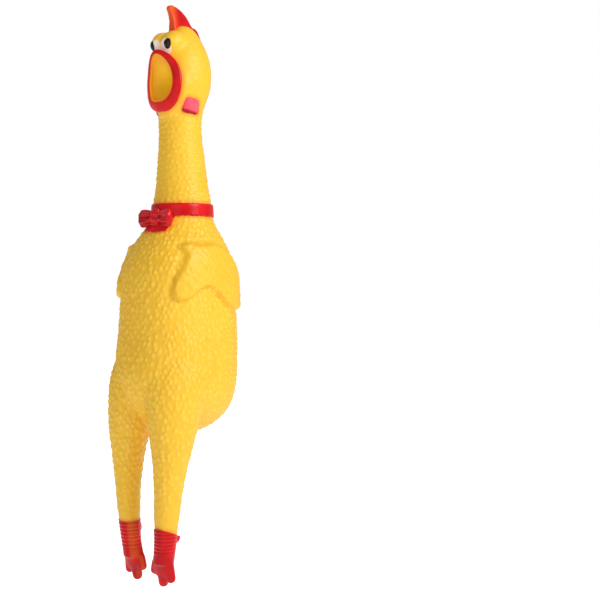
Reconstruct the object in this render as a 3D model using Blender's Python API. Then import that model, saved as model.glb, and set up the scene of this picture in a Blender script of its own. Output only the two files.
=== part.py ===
"""Rubber chicken: a hollow soft-vinyl squeaking toy, held in the hand.

Metres, +Z up. The head is up, the legs hang down, the beak faces -Y and the
chicken's left side is +X. The origin is the middle of the body, where a hand grips it.

The skin is one soft moulding on the real toy. Here it is cut where it bends (neck, hips,
shanks, toes, flanks) and where its colour changes, with a small gap at every cut.
"""

import math

import bmesh
import bpy
from mathutils import Matrix, Vector

# ---------------------------------------------------------------- driving dimensions
MM = 0.001
WALL = 2.2 * MM  # thickness of the vinyl skin
GAP = 0.3 * MM  # clearance between neighbouring pieces
SLIDE_GAP = 0.5 * MM  # clearance round a pressed flank panel
BODY_SIDES = 28  # facets round the torso, neck and head
LEG_SIDES = 16  # facets round a leg
INNER_BODY_SIDES = 16  # the inside of the skin is plainer than the outside
INNER_LEG_SIDES = 10
FOOT_SIDES = 14

# torso, neck and head as one tall form: height, half width (X), half depth (Y),
# centre in Y, squareness of the section (2 is an ellipse)
BODY_STATIONS = (
    (-73.4, 6.7, 7.7, -2.0, 2.0),
    (-70.7, 14.3, 16.9, -2.0, 2.1),
    (-64.8, 23.6, 27.2, -2.2, 2.2),
    (-57.3, 30.2, 34.3, -3.0, 2.3),
    (-46.0, 35.4, 39.5, -5.0, 2.4),
    (-34.0, 37.7, 41.5, -6.0, 2.4),
    (-18.0, 37.7, 41.5, -5.4, 2.4),
    (0.0, 36.9, 40.3, -4.4, 2.4),
    (20.0, 35.9, 39.3, -4.0, 2.4),
    (35.0, 35.1, 38.3, -3.7, 2.4),
    (48.0, 33.2, 35.7, -3.0, 2.4),
    (60.0, 28.9, 30.3, -2.0, 2.3),
    (70.0, 24.0, 24.6, -1.0, 2.1),
    (77.5, 20.8, 21.0, -0.2, 2.0),
    (87.0, 20.0, 20.0, 0.0, 2.0),
    (98.0, 18.3, 18.3, -0.2, 2.0),
    (110.0, 17.0, 17.0, -0.6, 2.0),
    (121.0, 16.0, 16.0, -1.0, 2.0),
    (131.0, 15.0, 15.0, -1.6, 2.0),
    (139.0, 14.7, 14.7, -1.9, 2.0),
    (147.0, 14.9, 14.9, -1.8, 2.0),
    (153.0, 15.8, 15.8, -1.2, 2.0),
    (159.0, 17.5, 17.5, -0.5, 2.0),
    (167.0, 19.6, 19.6, 0.0, 2.0),
    (176.0, 20.4, 20.4, 0.0, 2.0),
    (185.0, 19.6, 19.6, 0.0, 2.0),
    (192.0, 17.6, 17.6, 0.0, 2.0),
    (198.5, 14.6, 14.6, 0.0, 2.0),
    (203.5, 11.8, 11.8, 0.0, 2.0),
    (207.6, 8.8, 8.8, 0.0, 2.0),
    (210.3, 5.2, 5.2, 0.0, 2.0),
)
BODY_BOTTOM = -74.2  # lowest point of the belly
BODY_TOP = 211.5  # crown of the head

# left leg: height, centre X, centre Y, radius
LEG_STATIONS = (
    (-14.0, 16.0, -22.0, 17.0),
    (-30.0, 18.0, -25.4, 19.2),
    (-46.0, 19.4, -27.8, 18.7),
    (-60.0, 20.3, -29.7, 16.8),
    (-72.0, 21.0, -31.1, 14.5),
    (-84.0, 21.0, -32.3, 12.2),
    (-97.0, 20.5, -33.3, 10.2),
    (-112.0, 19.6, -34.1, 8.9),
    (-127.0, 18.5, -34.4, 8.0),
    (-139.0, 17.5, -34.2, 7.1),
    (-148.0, 16.4, -34.0, 6.7),
    (-157.0, 15.0, -34.2, 6.6),
)
SCUTE_RISE = 0.7  # height of the scaly rings on the ankle
SPUR_Z = -138.5
SPUR_OFFSET = (1.6, 0.9)  # outward, and behind the leg's skin
SPUR_RADII = (2.8, 2.6, 5.4)
# foot below the ankle: height, centre X, centre Y, half width, half depth
FOOT_STATIONS = (
    (-150.0, 15.6, -34.2, 7.4, 6.2),
    (-158.0, 14.0, -33.8, 9.2, 5.0),
    (-163.0, 13.4, -33.2, 9.6, 4.1),
    (-166.0, 13.2, -33.0, 7.6, 3.0),
)
# toes: root, tip, radius at the root, radius at the tip
TOES = (
    ((19.6, -33.8, -156.0), (20.4, -31.6, -173.3), 3.2, 3.3),
    ((14.0, -33.8, -156.0), (12.6, -31.4, -177.3), 3.8, 3.5),
    ((8.0, -33.8, -156.0), (5.6, -33.2, -168.8), 3.0, 3.2),
)
LEG_TWIST = 0.045  # how much wider a leg is across its outward diagonal

# cut levels down the neck and legs, each cut GAP wide
NECK_CUTS = (88.3, 98.7, 116.6, 127.4, 136.4, 146.2)
LEG_CUTS = (-74.5, -84.5, -104.3, -113.4, -131.8, -144.6, -153.2)

# neck and leg joint heights, in the middle of the bending zones
NECK_NOD_Z = 93.5
NECK_SWAY_Z = 122.0
HEAD_NOD_Z = 141.3
HIP_Z = -79.5
SHANK_Z = -108.8
TOES_Z = -148.9

MOUTH_CENTRE_Z = 171.0
MOUTH_HALF_WIDTH = 12.9
MOUTH_HALF_HEIGHT = 17.7
MOUTH_PEAR = 0.09  # how much narrower its top is than its middle
LIP_SIDES = 10
LIP_STEPS = 30
LIP_HOLE_RADIUS = 2.2  # breath hole at the back of the mouth

EYE_CENTRE = (5.2, -15.0, 195.8)
EYE_RADIUS = 7.2
BROW_CENTRE = (5.6, -12.4, 197.6)
BROW_RADIUS = 7.8
BRIDGE_HALF = 0.4  # half the gap between the two eyes
PUPIL_CENTRE = (7.2, 194.6)  # X and Z
PUPIL_HALF = (2.5, 3.7)
PUPIL_RISE = 0.9
PUPIL_TILT = 14.0  # degrees, top of the pupil leaning outward

CHIN_CENTRE = (0.0, -13.4, 151.0)
CHIN_RADII = (8.6, 6.6, 6.6)

COMB_HALF_THICK = 3.4
COMB_TAPER = 0.45  # how much thinner its tip is
COMB_ROUNDING = 1.5
COMB_OUTLINE = (
    (-9.6, 203.0),
    (-10.0, 208.0),
    (-10.4, 213.0),
    (-11.6, 217.5),
    (-13.4, 220.8),
    (-13.0, 222.6),
    (-10.6, 223.4),
    (-6.2, 222.6),
    (-1.2, 220.3),
    (3.4, 216.9),
    (6.6, 213.0),
    (8.2, 210.9),
    (10.6, 210.9),
    (13.2, 209.0),
    (15.2, 205.6),
    (16.8, 201.4),
    (12.0, 197.0),
    (0.0, 199.0),
)

# outlines on the flank, as (Y, Z)
WING_OUTLINE = (
    (-26.5, 56.0),
    (-26.0, 50.0),
    (-29.0, 44.5),
    (-32.5, 37.5),
    (-34.5, 30.0),
    (-34.5, 24.0),
    (-31.5, 20.5),
    (-26.0, 21.0),
    (-21.0, 25.0),
    (-16.5, 28.2),
    (-12.3, 29.3),
    (-6.0, 26.5),
    (0.5, 21.7),
    (8.0, 16.2),
    (17.0, 12.6),
    (25.0, 13.4),
    (29.5, 20.0),
    (30.0, 31.0),
    (25.0, 43.0),
    (14.0, 54.5),
    (1.0, 60.0),
    (-12.0, 59.5),
    (-21.5, 59.5),
)
WING_RISE = 3.0
FLANK_CENTRE = (-3.0, -13.0)
FLANK_HALF = (17.0, 27.0)
FLANK_SQUARENESS = 2.8

WATTLE_ANGLE = -20.0  # degrees from +X toward -Y
WATTLE_CENTRE_Z = 153.4
WATTLE_OUTLINE = (
    (-5.6, 5.6),
    (5.2, 6.2),
    (6.8, 4.6),
    (6.6, -4.0),
    (4.6, -6.2),
    (-3.2, -6.0),
    (-6.6, -4.0),
    (-6.8, 4.0),
)
WATTLE_RISE = 2.0

COLLAR_Z = (77.6, 86.6)
COLLAR_RISE = 1.9
COLLAR_DROP = 11.0  # how far the band reaches down under the bow
COLLAR_DROP_HALF = 9.0
BOW_CENTRE = (0.0, -24.8, 76.4)
BOW_LENGTH = 15.5
BOW_FORWARD = 1.4  # how far the loops' ends stand in front of the knot
KNOT_RADII = (4.3, 4.3, 6.3)

SQUEAKER_AXIS_Z = 171.0
SQUEAKER_RADIUS = 8.2
SQUEAKER_WALL = 1.3
SQUEAKER_FRONT_Y = -3.4
SQUEAKER_BACK_Y = 8.6
REED_HINGE_Y = 5.6
REED_LENGTH = 7.4
REED_Z = 172.0


# ---------------------------------------------------------------- scene and materials
def clear_scene():
    for obj in list(bpy.data.objects):
        bpy.data.objects.remove(obj, do_unlink=True)


def material(name, colour, roughness, metallic=0.0, soft=0.0):
    mat = bpy.data.materials.new(name)
    mat.use_nodes = True
    shader = mat.node_tree.nodes["Principled BSDF"]
    shader.inputs["Base Color"].default_value = (*colour, 1.0)
    shader.inputs["Roughness"].default_value = roughness
    shader.inputs["Metallic"].default_value = metallic
    shader.inputs["Subsurface Weight"].default_value = soft
    return mat


def make_materials():
    return {
        "yellow_vinyl": material("yellow_vinyl", (0.93, 0.62, 0.07), 0.42, soft=0.1),
        "red_paint": material("red_paint", (0.72, 0.02, 0.03), 0.3),
        "pink_paint": material("pink_paint", (0.93, 0.14, 0.2), 0.4),
        "mouth_orange": material("mouth_orange", (0.9, 0.5, 0.02), 0.45),
        "cream_paint": material("cream_paint", (0.9, 0.78, 0.66), 0.4),
        "black_paint": material("black_paint", (0.01, 0.009, 0.008), 0.12),
        "squeaker_plastic": material("squeaker_plastic", (0.85, 0.84, 0.8), 0.35),
        "reed_film": material("reed_film", (0.7, 0.72, 0.75), 0.3),
    }


# ---------------------------------------------------------------- mesh helpers
def object_from(name, mesh_data):
    mesh = bpy.data.meshes.new(name)
    bmesh.ops.recalc_face_normals(mesh_data, faces=mesh_data.faces)
    mesh_data.to_mesh(mesh)
    mesh_data.free()
    obj = bpy.data.objects.new(name, mesh)
    bpy.context.scene.collection.objects.link(obj)
    return obj


def copy_of(obj, name):
    twin = obj.copy()
    twin.data = obj.data.copy()
    twin.name = name
    bpy.context.scene.collection.objects.link(twin)
    return twin


def discard(*objs):
    for obj in objs:
        bpy.data.objects.remove(obj, do_unlink=True)


def apply_modifiers(obj):
    graph = bpy.context.evaluated_depsgraph_get()
    mesh = bpy.data.meshes.new_from_object(obj.evaluated_get(graph))
    obj.modifiers.clear()
    obj.data = mesh


def combine(obj, operation, others, keep=()):
    """One exact Boolean after another, applied; the tools that aren't kept are removed."""
    for other in others:
        step = obj.modifiers.new(operation.lower(), "BOOLEAN")
        step.operation = operation
        step.solver = "EXACT"
        step.object = other
        apply_modifiers(obj)
    discard(*[other for other in others if other not in keep])
    return obj


def grown(obj, name, distance_mm):
    """A copy with its surface moved out along its normals, or in when negative."""
    twin = copy_of(obj, name)
    sheet = bmesh.new()
    sheet.from_mesh(twin.data)
    sheet.normal_update()
    moves = [vert.normal * distance_mm * MM * vert.calc_shell_factor() for vert in sheet.verts]
    for vert, move in zip(sheet.verts, moves):
        vert.co += move
    sheet.to_mesh(twin.data)
    sheet.free()
    return twin


def bridge_rings(sheet, rings, closed_along=False):
    """Quads between neighbouring rings of vertices."""
    pairs = list(zip(rings, rings[1:]))
    if closed_along:
        pairs.append((rings[-1], rings[0]))
    for low, high in pairs:
        count = len(low)
        for k in range(count):
            n = (k + 1) % count
            sheet.faces.new((low[k], low[n], high[n], high[k]))


def loft(name, sections, start=None, end=None):
    """Closed skin through the sections (lists of mm points); a start or end point makes a
    pole, otherwise the end is a flat cap."""
    sheet = bmesh.new()
    rings = [[sheet.verts.new(Vector(p) * MM) for p in section] for section in sections]
    bridge_rings(sheet, rings)
    for ring, pole in ((rings[0], start), (rings[-1], end)):
        if pole is None:
            sheet.faces.new(ring)
            continue
        tip = sheet.verts.new(Vector(pole) * MM)
        for k in range(len(ring)):
            sheet.faces.new((ring[k], ring[(k + 1) % len(ring)], tip))
    return object_from(name, sheet)


def box(name, low, high):
    sheet = bmesh.new()
    size = [b - a for a, b in zip(low, high)]
    middle = [(a + b) / 2 for a, b in zip(low, high)]
    place = Matrix.Translation(Vector(middle) * MM) @ Matrix.Diagonal(
        Vector([s * MM for s in size] + [1.0])
    )
    bmesh.ops.create_cube(sheet, size=1.0, matrix=place)
    return object_from(name, sheet)


def slab(low, high):
    """Everything between two heights."""
    return box("slab", (-150, -150, low), (150, 150, high))


def ball(name, centre, radii, segments=20, rings=12):
    sheet = bmesh.new()
    place = Matrix.Translation(Vector(centre) * MM) @ Matrix.Diagonal(
        Vector([r * MM for r in radii] + [1.0])
    )
    bmesh.ops.create_uvsphere(
        sheet, u_segments=segments, v_segments=rings, radius=1.0, matrix=place
    )
    return object_from(name, sheet)


def cylinder_y(name, radius, low, high, x=0.0, z=0.0, segments=24):
    sheet = bmesh.new()
    place = Matrix.Translation(Vector((x, (low + high) / 2, z)) * MM) @ Matrix.Rotation(
        math.radians(90), 4, "X"
    )
    bmesh.ops.create_cone(
        sheet,
        cap_ends=True,
        segments=segments,
        radius1=radius * MM,
        radius2=radius * MM,
        depth=(high - low) * MM,
        matrix=place,
    )
    return object_from(name, sheet)


def side_prism(name, outline, near, far, grow=0.0):
    """A (Y, Z) outline extruded along X from near to far, pushed outward by grow."""
    centre_y = sum(p[0] for p in outline) / len(outline)
    centre_z = sum(p[1] for p in outline) / len(outline)
    shifted = []
    for y, z in outline:
        away = Vector((y - centre_y, z - centre_z))
        away = away + away.normalized() * grow
        shifted.append((centre_y + away.x, centre_z + away.y))
    return loft(name, [[(x, y, z) for y, z in shifted] for x in (near, far)])


def mirrored(obj, name):
    twin = copy_of(obj, name)
    sheet = bmesh.new()
    sheet.from_mesh(twin.data)
    bmesh.ops.scale(sheet, vec=(-1, 1, 1), verts=sheet.verts)
    bmesh.ops.reverse_faces(sheet, faces=sheet.faces)
    sheet.to_mesh(twin.data)
    sheet.free()
    return twin


def finish(obj, name, mat, origin=(0.0, 0.0, 0.0), smooth_angle=40.0):
    """Names the piece, moves its origin onto its joint axis and dresses it."""
    sheet = bmesh.new()
    sheet.from_mesh(obj.data)
    bmesh.ops.remove_doubles(sheet, verts=sheet.verts, dist=0.00002)
    bmesh.ops.dissolve_degenerate(sheet, edges=sheet.edges, dist=0.00002)
    bmesh.ops.triangulate(sheet, faces=[f for f in sheet.faces if len(f.verts) > 4])
    place = Vector(origin) * MM
    bmesh.ops.translate(sheet, vec=-place, verts=sheet.verts)
    sheet.to_mesh(obj.data)
    sheet.free()
    obj.location = place
    obj.name = name
    obj.data.name = name
    obj.data.materials.clear()
    obj.data.materials.append(mat)
    obj.data.shade_smooth()
    obj.data.set_sharp_from_angle(angle=math.radians(smooth_angle))
    return obj


# ---------------------------------------------------------------- body form
def oval_section(half_x, half_y, centre_y, squareness, height, sides):
    points = []
    for k in range(sides):
        turn = 2 * math.pi * (k + 0.5) / sides
        c, s = math.cos(turn), math.sin(turn)
        x = half_x * math.copysign(abs(c) ** (2 / squareness), c)
        y = half_y * math.copysign(abs(s) ** (2 / squareness), s)
        points.append((x, centre_y + y, height))
    return points


def body_form(name, sides=BODY_SIDES):
    sections = [oval_section(a, b, cy, n, z, sides) for z, a, b, cy, n in BODY_STATIONS]
    first, last = BODY_STATIONS[0], BODY_STATIONS[-1]
    return loft(
        name, sections, start=(0, first[3], BODY_BOTTOM), end=(0, last[3], BODY_TOP)
    )


def leg_form(name, change=0.0, sides=LEG_SIDES, stations=LEG_STATIONS):
    """The left leg from inside the belly to below the toes joint; change alters its radius."""
    sections = []
    for height, cx, cy, radius in stations:
        ring = []
        for k in range(sides):
            turn = 2 * math.pi * k / sides
            size = radius * (1 + LEG_TWIST * math.cos(2 * (turn - math.pi / 4))) + change
            ring.append((cx + size * math.cos(turn), cy + size * math.sin(turn), height))
        sections.append(ring)
    return loft(name, sections)


def mouth_path(turn, outward=0.0, back=0.0):
    """A point on the lips' pear-shaped centre line; turn 0 is the top, outward widens it."""
    s, c = math.sin(turn), math.cos(turn)
    power = 0.92 + 0.12 * c
    wide = (MOUTH_HALF_WIDTH + outward) * (1 - MOUTH_PEAR * c)
    x = wide * math.copysign(abs(s) ** power, s)
    z = MOUTH_CENTRE_Z + (MOUTH_HALF_HEIGHT + outward) * c
    reach = 17.2 + (5.8 if c > 0 else 2.6) * abs(c) ** 2.4
    return Vector((x, -reach + back, z))


def lip_radius(turn):
    """The lip is thin at the top and full at the sides and the bottom."""
    c = math.cos(turn)
    return 3.5 - 1.3 * max(c, 0.0) ** 3


def lip_tube(name, grow=0.0):
    sheet = bmesh.new()
    rings = []
    for step in range(LIP_STEPS):
        turn = 2 * math.pi * step / LIP_STEPS
        here = mouth_path(turn)
        ahead = mouth_path(turn + 0.01) - mouth_path(turn - 0.01)
        ahead.normalize()
        across = ahead.cross(Vector((0, 1, 0)))
        across.normalize()
        front = across.cross(ahead)
        ring = []
        for k in range(LIP_SIDES):
            a = 2 * math.pi * k / LIP_SIDES
            size = lip_radius(turn) + grow
            point = here + across * math.cos(a) * size
            point += front * math.sin(a) * (size + 0.5)
            ring.append(sheet.verts.new(point * MM))
        rings.append(ring)
    bridge_rings(sheet, rings, closed_along=True)
    return object_from(name, sheet)


def mouth_oval(outward, back=0.0, level=None):
    ring = []
    for step in range(LIP_STEPS):
        point = mouth_path(2 * math.pi * (step + 0.5) / LIP_STEPS, outward, back)
        if level is not None:
            point.y = level
        ring.append(tuple(point))
    return ring


def muzzle(name, grow=0.0):
    """The swelling of the face that carries the lips."""
    rings = [
        mouth_oval(4.2 + grow, level=-6.0),
        mouth_oval(2.8 + grow, back=3.6 - grow),
        mouth_oval(0.4 + grow, back=-grow),
    ]
    return loft(name, rings)


# ---------------------------------------------------------------- head
def build_head(form_out, form_in, mats):
    brow = ball("brow", BROW_CENTRE, (BROW_RADIUS,) * 3, segments=16, rings=10)
    chin = ball("chin", CHIN_CENTRE, CHIN_RADII, segments=12, rings=8)
    outer = copy_of(form_out, "head_outer")
    combine(outer, "UNION", [muzzle("muzzle"), brow, mirrored(brow, "brow_r"), chin])
    combine(outer, "INTERSECT", [slab(NECK_CUTS[5] + GAP / MM, 240)])

    skin = copy_of(outer, "head_skin")
    combine(skin, "DIFFERENCE", [form_in], keep=[form_in])
    throat = loft("throat", [mouth_oval(0.0, level=-34.0), mouth_oval(0.0, level=-2.0)])
    combine(skin, "DIFFERENCE", [throat, lip_tube("lip_clear", GAP / MM)])
    nod = (0, 0, HEAD_NOD_Z)
    finish(skin, "head_skin", mats["yellow_vinyl"], nod)

    finish(lip_tube("lips"), "mouth_lips", mats["red_paint"], nod, smooth_angle=60)

    cup = loft("lining", [mouth_oval(-1.6, back=2.4), mouth_oval(-3.0, level=-4.2)])
    hollow = loft("hollow", [mouth_oval(-3.2, back=-9.0), mouth_oval(-4.6, level=-6.0)])
    bore = cylinder_y("bore", LIP_HOLE_RADIUS, -12, 4, z=SQUEAKER_AXIS_Z, segments=16)
    combine(cup, "DIFFERENCE", [hollow, bore, lip_tube("lip_clear", GAP / MM)])
    finish(cup, "mouth_lining", mats["mouth_orange"], nod)

    clear = grown(form_out, "head_clear", GAP / MM)
    build_eyes(clear, mats, nod)
    build_comb(clear, mats, nod)
    build_wattles(form_out, clear, mats, nod)
    discard(clear, outer)


def build_eyes(clear, mats, nod):
    muzzle_clear = muzzle("muzzle_clear", GAP / MM)
    brow_clear = ball("brow_clear", BROW_CENTRE, (BROW_RADIUS + GAP / MM,) * 3)
    eye = ball("eye", EYE_CENTRE, (EYE_RADIUS,) * 3)
    beyond = box("beyond", (BRIDGE_HALF, -40, 180), (30, 10, 220))
    combine(eye, "INTERSECT", [beyond])
    lips = lip_tube("lip_clear", GAP / MM)
    combine(eye, "DIFFERENCE", [clear, muzzle_clear, brow_clear, lips], keep=[clear])

    pupil = ball("pupil", EYE_CENTRE, (EYE_RADIUS + PUPIL_RISE,) * 3, segments=32, rings=20)
    inner = ball("inner", EYE_CENTRE, (EYE_RADIUS + GAP / MM,) * 3, segments=32, rings=20)
    outline = []
    for k in range(16):
        turn = 2 * math.pi * k / 16
        point = Vector((PUPIL_HALF[0] * math.cos(turn), PUPIL_HALF[1] * math.sin(turn)))
        lean = math.radians(PUPIL_TILT)
        x = point.x * math.cos(lean) + point.y * math.sin(lean)
        z = -point.x * math.sin(lean) + point.y * math.cos(lean)
        outline.append((PUPIL_CENTRE[0] + x, PUPIL_CENTRE[1] + z))
    window = loft("window", [[(x, y, z) for x, z in outline] for y in (-40, EYE_CENTRE[1] - 3)])
    combine(pupil, "INTERSECT", [window])
    combine(pupil, "DIFFERENCE", [inner])
    other_eye, other_pupil = mirrored(eye, "eye_r"), mirrored(pupil, "pupil_r")
    finish(eye, "left_eye", mats["cream_paint"], nod)
    finish(other_eye, "right_eye", mats["cream_paint"], nod)
    finish(pupil, "left_pupil", mats["black_paint"], nod)
    finish(other_pupil, "right_pupil", mats["black_paint"], nod)


def build_comb(clear, mats, nod):
    """A soft fin on the crown, thinner toward its tip, with rounded edges."""
    sheet = bmesh.new()
    half = COMB_HALF_THICK
    low, high = COMB_OUTLINE[0][1], max(z for _, z in COMB_OUTLINE)
    sides = []
    for sign in (-1, 1):
        ring = []
        for y, z in COMB_OUTLINE:
            thin = 1 - COMB_TAPER * max(0.0, (z - low) / (high - low))
            ring.append(sheet.verts.new(Vector((sign * half * thin, y, z)) * MM))
        sides.append(ring)
    bridge_rings(sheet, sides)
    sheet.faces.new(sides[0])
    sheet.faces.new(sides[1])
    comb = object_from("comb", sheet)
    round_off = comb.modifiers.new("round", "BEVEL")
    round_off.width = COMB_ROUNDING * MM
    round_off.segments = 2
    round_off.limit_method = "ANGLE"
    round_off.angle_limit = math.radians(50)
    apply_modifiers(comb)
    brow = ball("brow_clear", BROW_CENTRE, (BROW_RADIUS + GAP / MM,) * 3)
    combine(comb, "DIFFERENCE", [clear, brow, mirrored(brow, "brow_r")], keep=[clear])
    finish(comb, "comb", mats["red_paint"], nod, smooth_angle=60)


def build_wattles(form_out, clear, mats, nod):
    turn = math.radians(WATTLE_ANGLE)
    out = Vector((math.cos(turn), math.sin(turn), 0))
    along = Vector((-math.sin(turn), math.cos(turn), 0))
    middle = Vector((0, 0, WATTLE_CENTRE_Z))
    sections = []
    for reach in (8.0, 24.0):
        ring = [
            tuple(middle + out * reach + along * u + Vector((0, 0, v)))
            for u, v in WATTLE_OUTLINE
        ]
        sections.append(ring)
    wattle = loft("wattle", sections)
    raised = grown(form_out, "raised", WATTLE_RISE)
    combine(wattle, "INTERSECT", [raised])
    lips = lip_tube("lip_clear", GAP / MM)
    muzzle_clear = muzzle("muzzle_clear", GAP / MM)
    combine(wattle, "DIFFERENCE", [clear, lips, muzzle_clear], keep=[clear])
    other = mirrored(wattle, "wattle_r")
    finish(wattle, "left_wattle", mats["pink_paint"], nod)
    finish(other, "right_wattle", mats["pink_paint"], nod)


# ---------------------------------------------------------------- torso
def rounded_outline(centre, half, squareness, grow=0.0, count=24):
    points = []
    for k in range(count):
        turn = 2 * math.pi * k / count
        c, s = math.cos(turn), math.sin(turn)
        y = (half[0] + grow) * math.copysign(abs(c) ** (2 / squareness), c)
        z = (half[1] + grow) * math.copysign(abs(s) ** (2 / squareness), s)
        points.append((centre[0] + y, centre[1] + z))
    return points


def build_torso(form_out, form_in, mats):
    leg = leg_form("leg")
    leg_in = leg_form("leg_in", change=-WALL / MM, sides=INNER_LEG_SIDES)
    outer = copy_of(form_out, "torso_outer")
    combine(outer, "UNION", [leg, mirrored(leg, "leg_r")])
    shell = copy_of(outer, "shell")
    combine(
        shell,
        "DIFFERENCE",
        [form_in, leg_in, mirrored(leg_in, "leg_in_r")],
        keep=[form_in],
    )
    combine(shell, "INTERSECT", [slab(LEG_CUTS[0], NECK_CUTS[0])])

    panel_shape = rounded_outline(FLANK_CENTRE, FLANK_HALF, FLANK_SQUARENESS)
    hole_shape = rounded_outline(
        FLANK_CENTRE, FLANK_HALF, FLANK_SQUARENESS, grow=SLIDE_GAP / MM
    )
    for side, sign in (("left", 1), ("right", -1)):
        panel = copy_of(shell, side + "_flank")
        press = side_prism("press", panel_shape, sign * 12, sign * 70)
        combine(panel, "INTERSECT", [press])
        finish(panel, side + "_flank", mats["yellow_vinyl"])
    holes = [side_prism("hole", hole_shape, s * 12, s * 70) for s in (1, -1)]
    combine(shell, "DIFFERENCE", holes)
    finish(shell, "torso_skin", mats["yellow_vinyl"])

    build_wings(form_out, mats)
    discard(outer)


def build_wings(form_out, mats):
    wing = side_prism("wing", WING_OUTLINE, 4, 70)
    raised = grown(form_out, "raised", WING_RISE)
    clear = grown(form_out, "clear", GAP / MM)
    combine(wing, "INTERSECT", [raised])
    combine(wing, "DIFFERENCE", [clear])
    other = mirrored(wing, "wing_r")
    finish(wing, "left_wing", mats["yellow_vinyl"])
    finish(other, "right_wing", mats["yellow_vinyl"])


def collar_room(grow=0.0):
    """The heights the collar takes up, with its drop under the bow."""
    low, high = COLLAR_Z
    half = COLLAR_DROP_HALF + grow
    room = slab(low - grow, high + grow)
    drop = box("drop", (-half, -60, low - COLLAR_DROP - grow), (half, 0, low + 1.0))
    return combine(room, "UNION", [drop])


def build_collar(form_out, mats):
    inner = grown(form_out, "inner", GAP / MM)
    band = grown(form_out, "band", COLLAR_RISE)
    combine(band, "INTERSECT", [collar_room()])
    combine(band, "DIFFERENCE", [inner], keep=[inner])
    finish(band, "collar_band", mats["red_paint"])
    clear_band = grown(form_out, "clear_band", COLLAR_RISE + GAP / MM)
    combine(clear_band, "INTERSECT", [collar_room(GAP / MM)])
    build_bow(inner, clear_band, mats)


def build_bow(body_clear, band_clear, mats):
    centre = Vector(BOW_CENTRE)
    knot = ball("knot", centre, KNOT_RADII, segments=16, rings=10)
    roomy = [r + GAP / MM for r in KNOT_RADII]
    knot_clear = ball("knot_clear", centre, roomy, segments=16, rings=10)
    sections = []
    for step in range(6):
        along = step / 5
        x = 2.0 + (BOW_LENGTH - 2.8) * along
        half_z = 3.2 + 3.0 * math.sin(min(along * 2.2, math.pi / 2))
        half_y = 2.1 + 1.3 * math.sin(along * 2.4)
        ring = []
        for k in range(18):
            turn = 2 * math.pi * k / 18
            pleat = 1 + 0.1 * along * math.cos(3 * turn)
            ring.append(
                (
                    centre.x + x,
                    centre.y - BOW_FORWARD * along * along + half_y * pleat * math.cos(turn),
                    centre.z - 0.4 * along + half_z * pleat * math.sin(turn),
                )
            )
        sections.append(ring)
    tip = (centre.x + BOW_LENGTH, centre.y - BOW_FORWARD, centre.z - 0.4)
    loop = loft("loop", sections, end=tip)
    combine(
        loop,
        "DIFFERENCE",
        [body_clear, band_clear, knot_clear],
        keep=[body_clear, band_clear],
    )
    combine(knot, "DIFFERENCE", [body_clear, band_clear])
    other = mirrored(loop, "loop_r")
    finish(loop, "bow_left_loop", mats["red_paint"])
    finish(other, "bow_right_loop", mats["red_paint"])
    finish(knot, "bow_knot", mats["red_paint"])


# ---------------------------------------------------------------- neck
def build_neck(form_out, form_in, mats):
    names = (
        ("neck_flex_low", NECK_NOD_Z),
        ("neck_low_skin", NECK_NOD_Z),
        ("neck_flex_mid", NECK_SWAY_Z),
        ("neck_high_skin", NECK_SWAY_Z),
        ("neck_flex_top", HEAD_NOD_Z),
    )
    for k, (name, axis_z) in enumerate(names):
        piece = copy_of(form_out, name)
        combine(piece, "INTERSECT", [slab(NECK_CUTS[k] + GAP / MM, NECK_CUTS[k + 1])])
        combine(piece, "DIFFERENCE", [form_in], keep=[form_in])
        finish(piece, name, mats["yellow_vinyl"], (0, 0, axis_z))


# ---------------------------------------------------------------- legs
def leg_at(height):
    """Centre X, centre Y and radius of the left leg at a height."""
    low = [s for s in LEG_STATIONS if s[0] <= height][0]
    high = [s for s in LEG_STATIONS if s[0] >= height][-1]
    part = 0.0 if low == high else (height - low[0]) / (high[0] - low[0])
    return tuple(low[i] + (high[i] - low[i]) * part for i in (1, 2, 3))


def leg_centre(height):
    return leg_at(height)[:2]


def leg_radius(height):
    return leg_at(height)[2]


def build_legs(mats):
    outer = leg_form("leg_outer")
    inner = leg_form("leg_inner", change=-WALL / MM, sides=INNER_LEG_SIDES)
    pieces = (
        ("hip_flex", HIP_Z, "yellow_vinyl"),
        ("thigh_skin", HIP_Z, "yellow_vinyl"),
        ("shank_flex", SHANK_Z, "yellow_vinyl"),
        ("shank_skin", SHANK_Z, "yellow_vinyl"),
        ("ankle_skin", SHANK_Z, "red_paint"),
        ("toes_flex", TOES_Z, "red_paint"),
    )
    for k, (name, axis_z, slot) in enumerate(pieces):
        piece = scaly_ankle(name) if name == "ankle_skin" else copy_of(outer, name)
        combine(piece, "INTERSECT", [slab(LEG_CUTS[k + 1], LEG_CUTS[k] - GAP / MM)])
        combine(piece, "DIFFERENCE", [inner], keep=[inner])
        finish_pair(piece, name, mats[slot], axis_z)
    discard(outer, inner)
    build_toes(mats)


def finish_pair(piece, name, mat, axis_z):
    cx, cy = leg_centre(axis_z)
    other = mirrored(piece, name + "_r")
    finish(piece, "left_" + name, mat, (cx, cy, axis_z))
    finish(other, "right_" + name, mat, (-cx, cy, axis_z))


def scaly_ankle(name):
    """The ankle with its scaly rings, and the spur behind it."""
    stations = []
    for step in range(13):
        height = -131.0 - 1.25 * step
        cx, cy = leg_centre(height)
        swell = SCUTE_RISE if step % 2 else 0.0
        stations.append((height, cx, cy, leg_radius(height) + swell))
    piece = leg_form(name, stations=stations)
    cx, cy = leg_centre(SPUR_Z)
    outward, behind = SPUR_OFFSET
    place = (cx + outward, cy + leg_radius(SPUR_Z) + behind, SPUR_Z)
    spur = ball("spur", place, SPUR_RADII, segments=12, rings=8)
    return combine(piece, "UNION", [spur])


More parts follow.
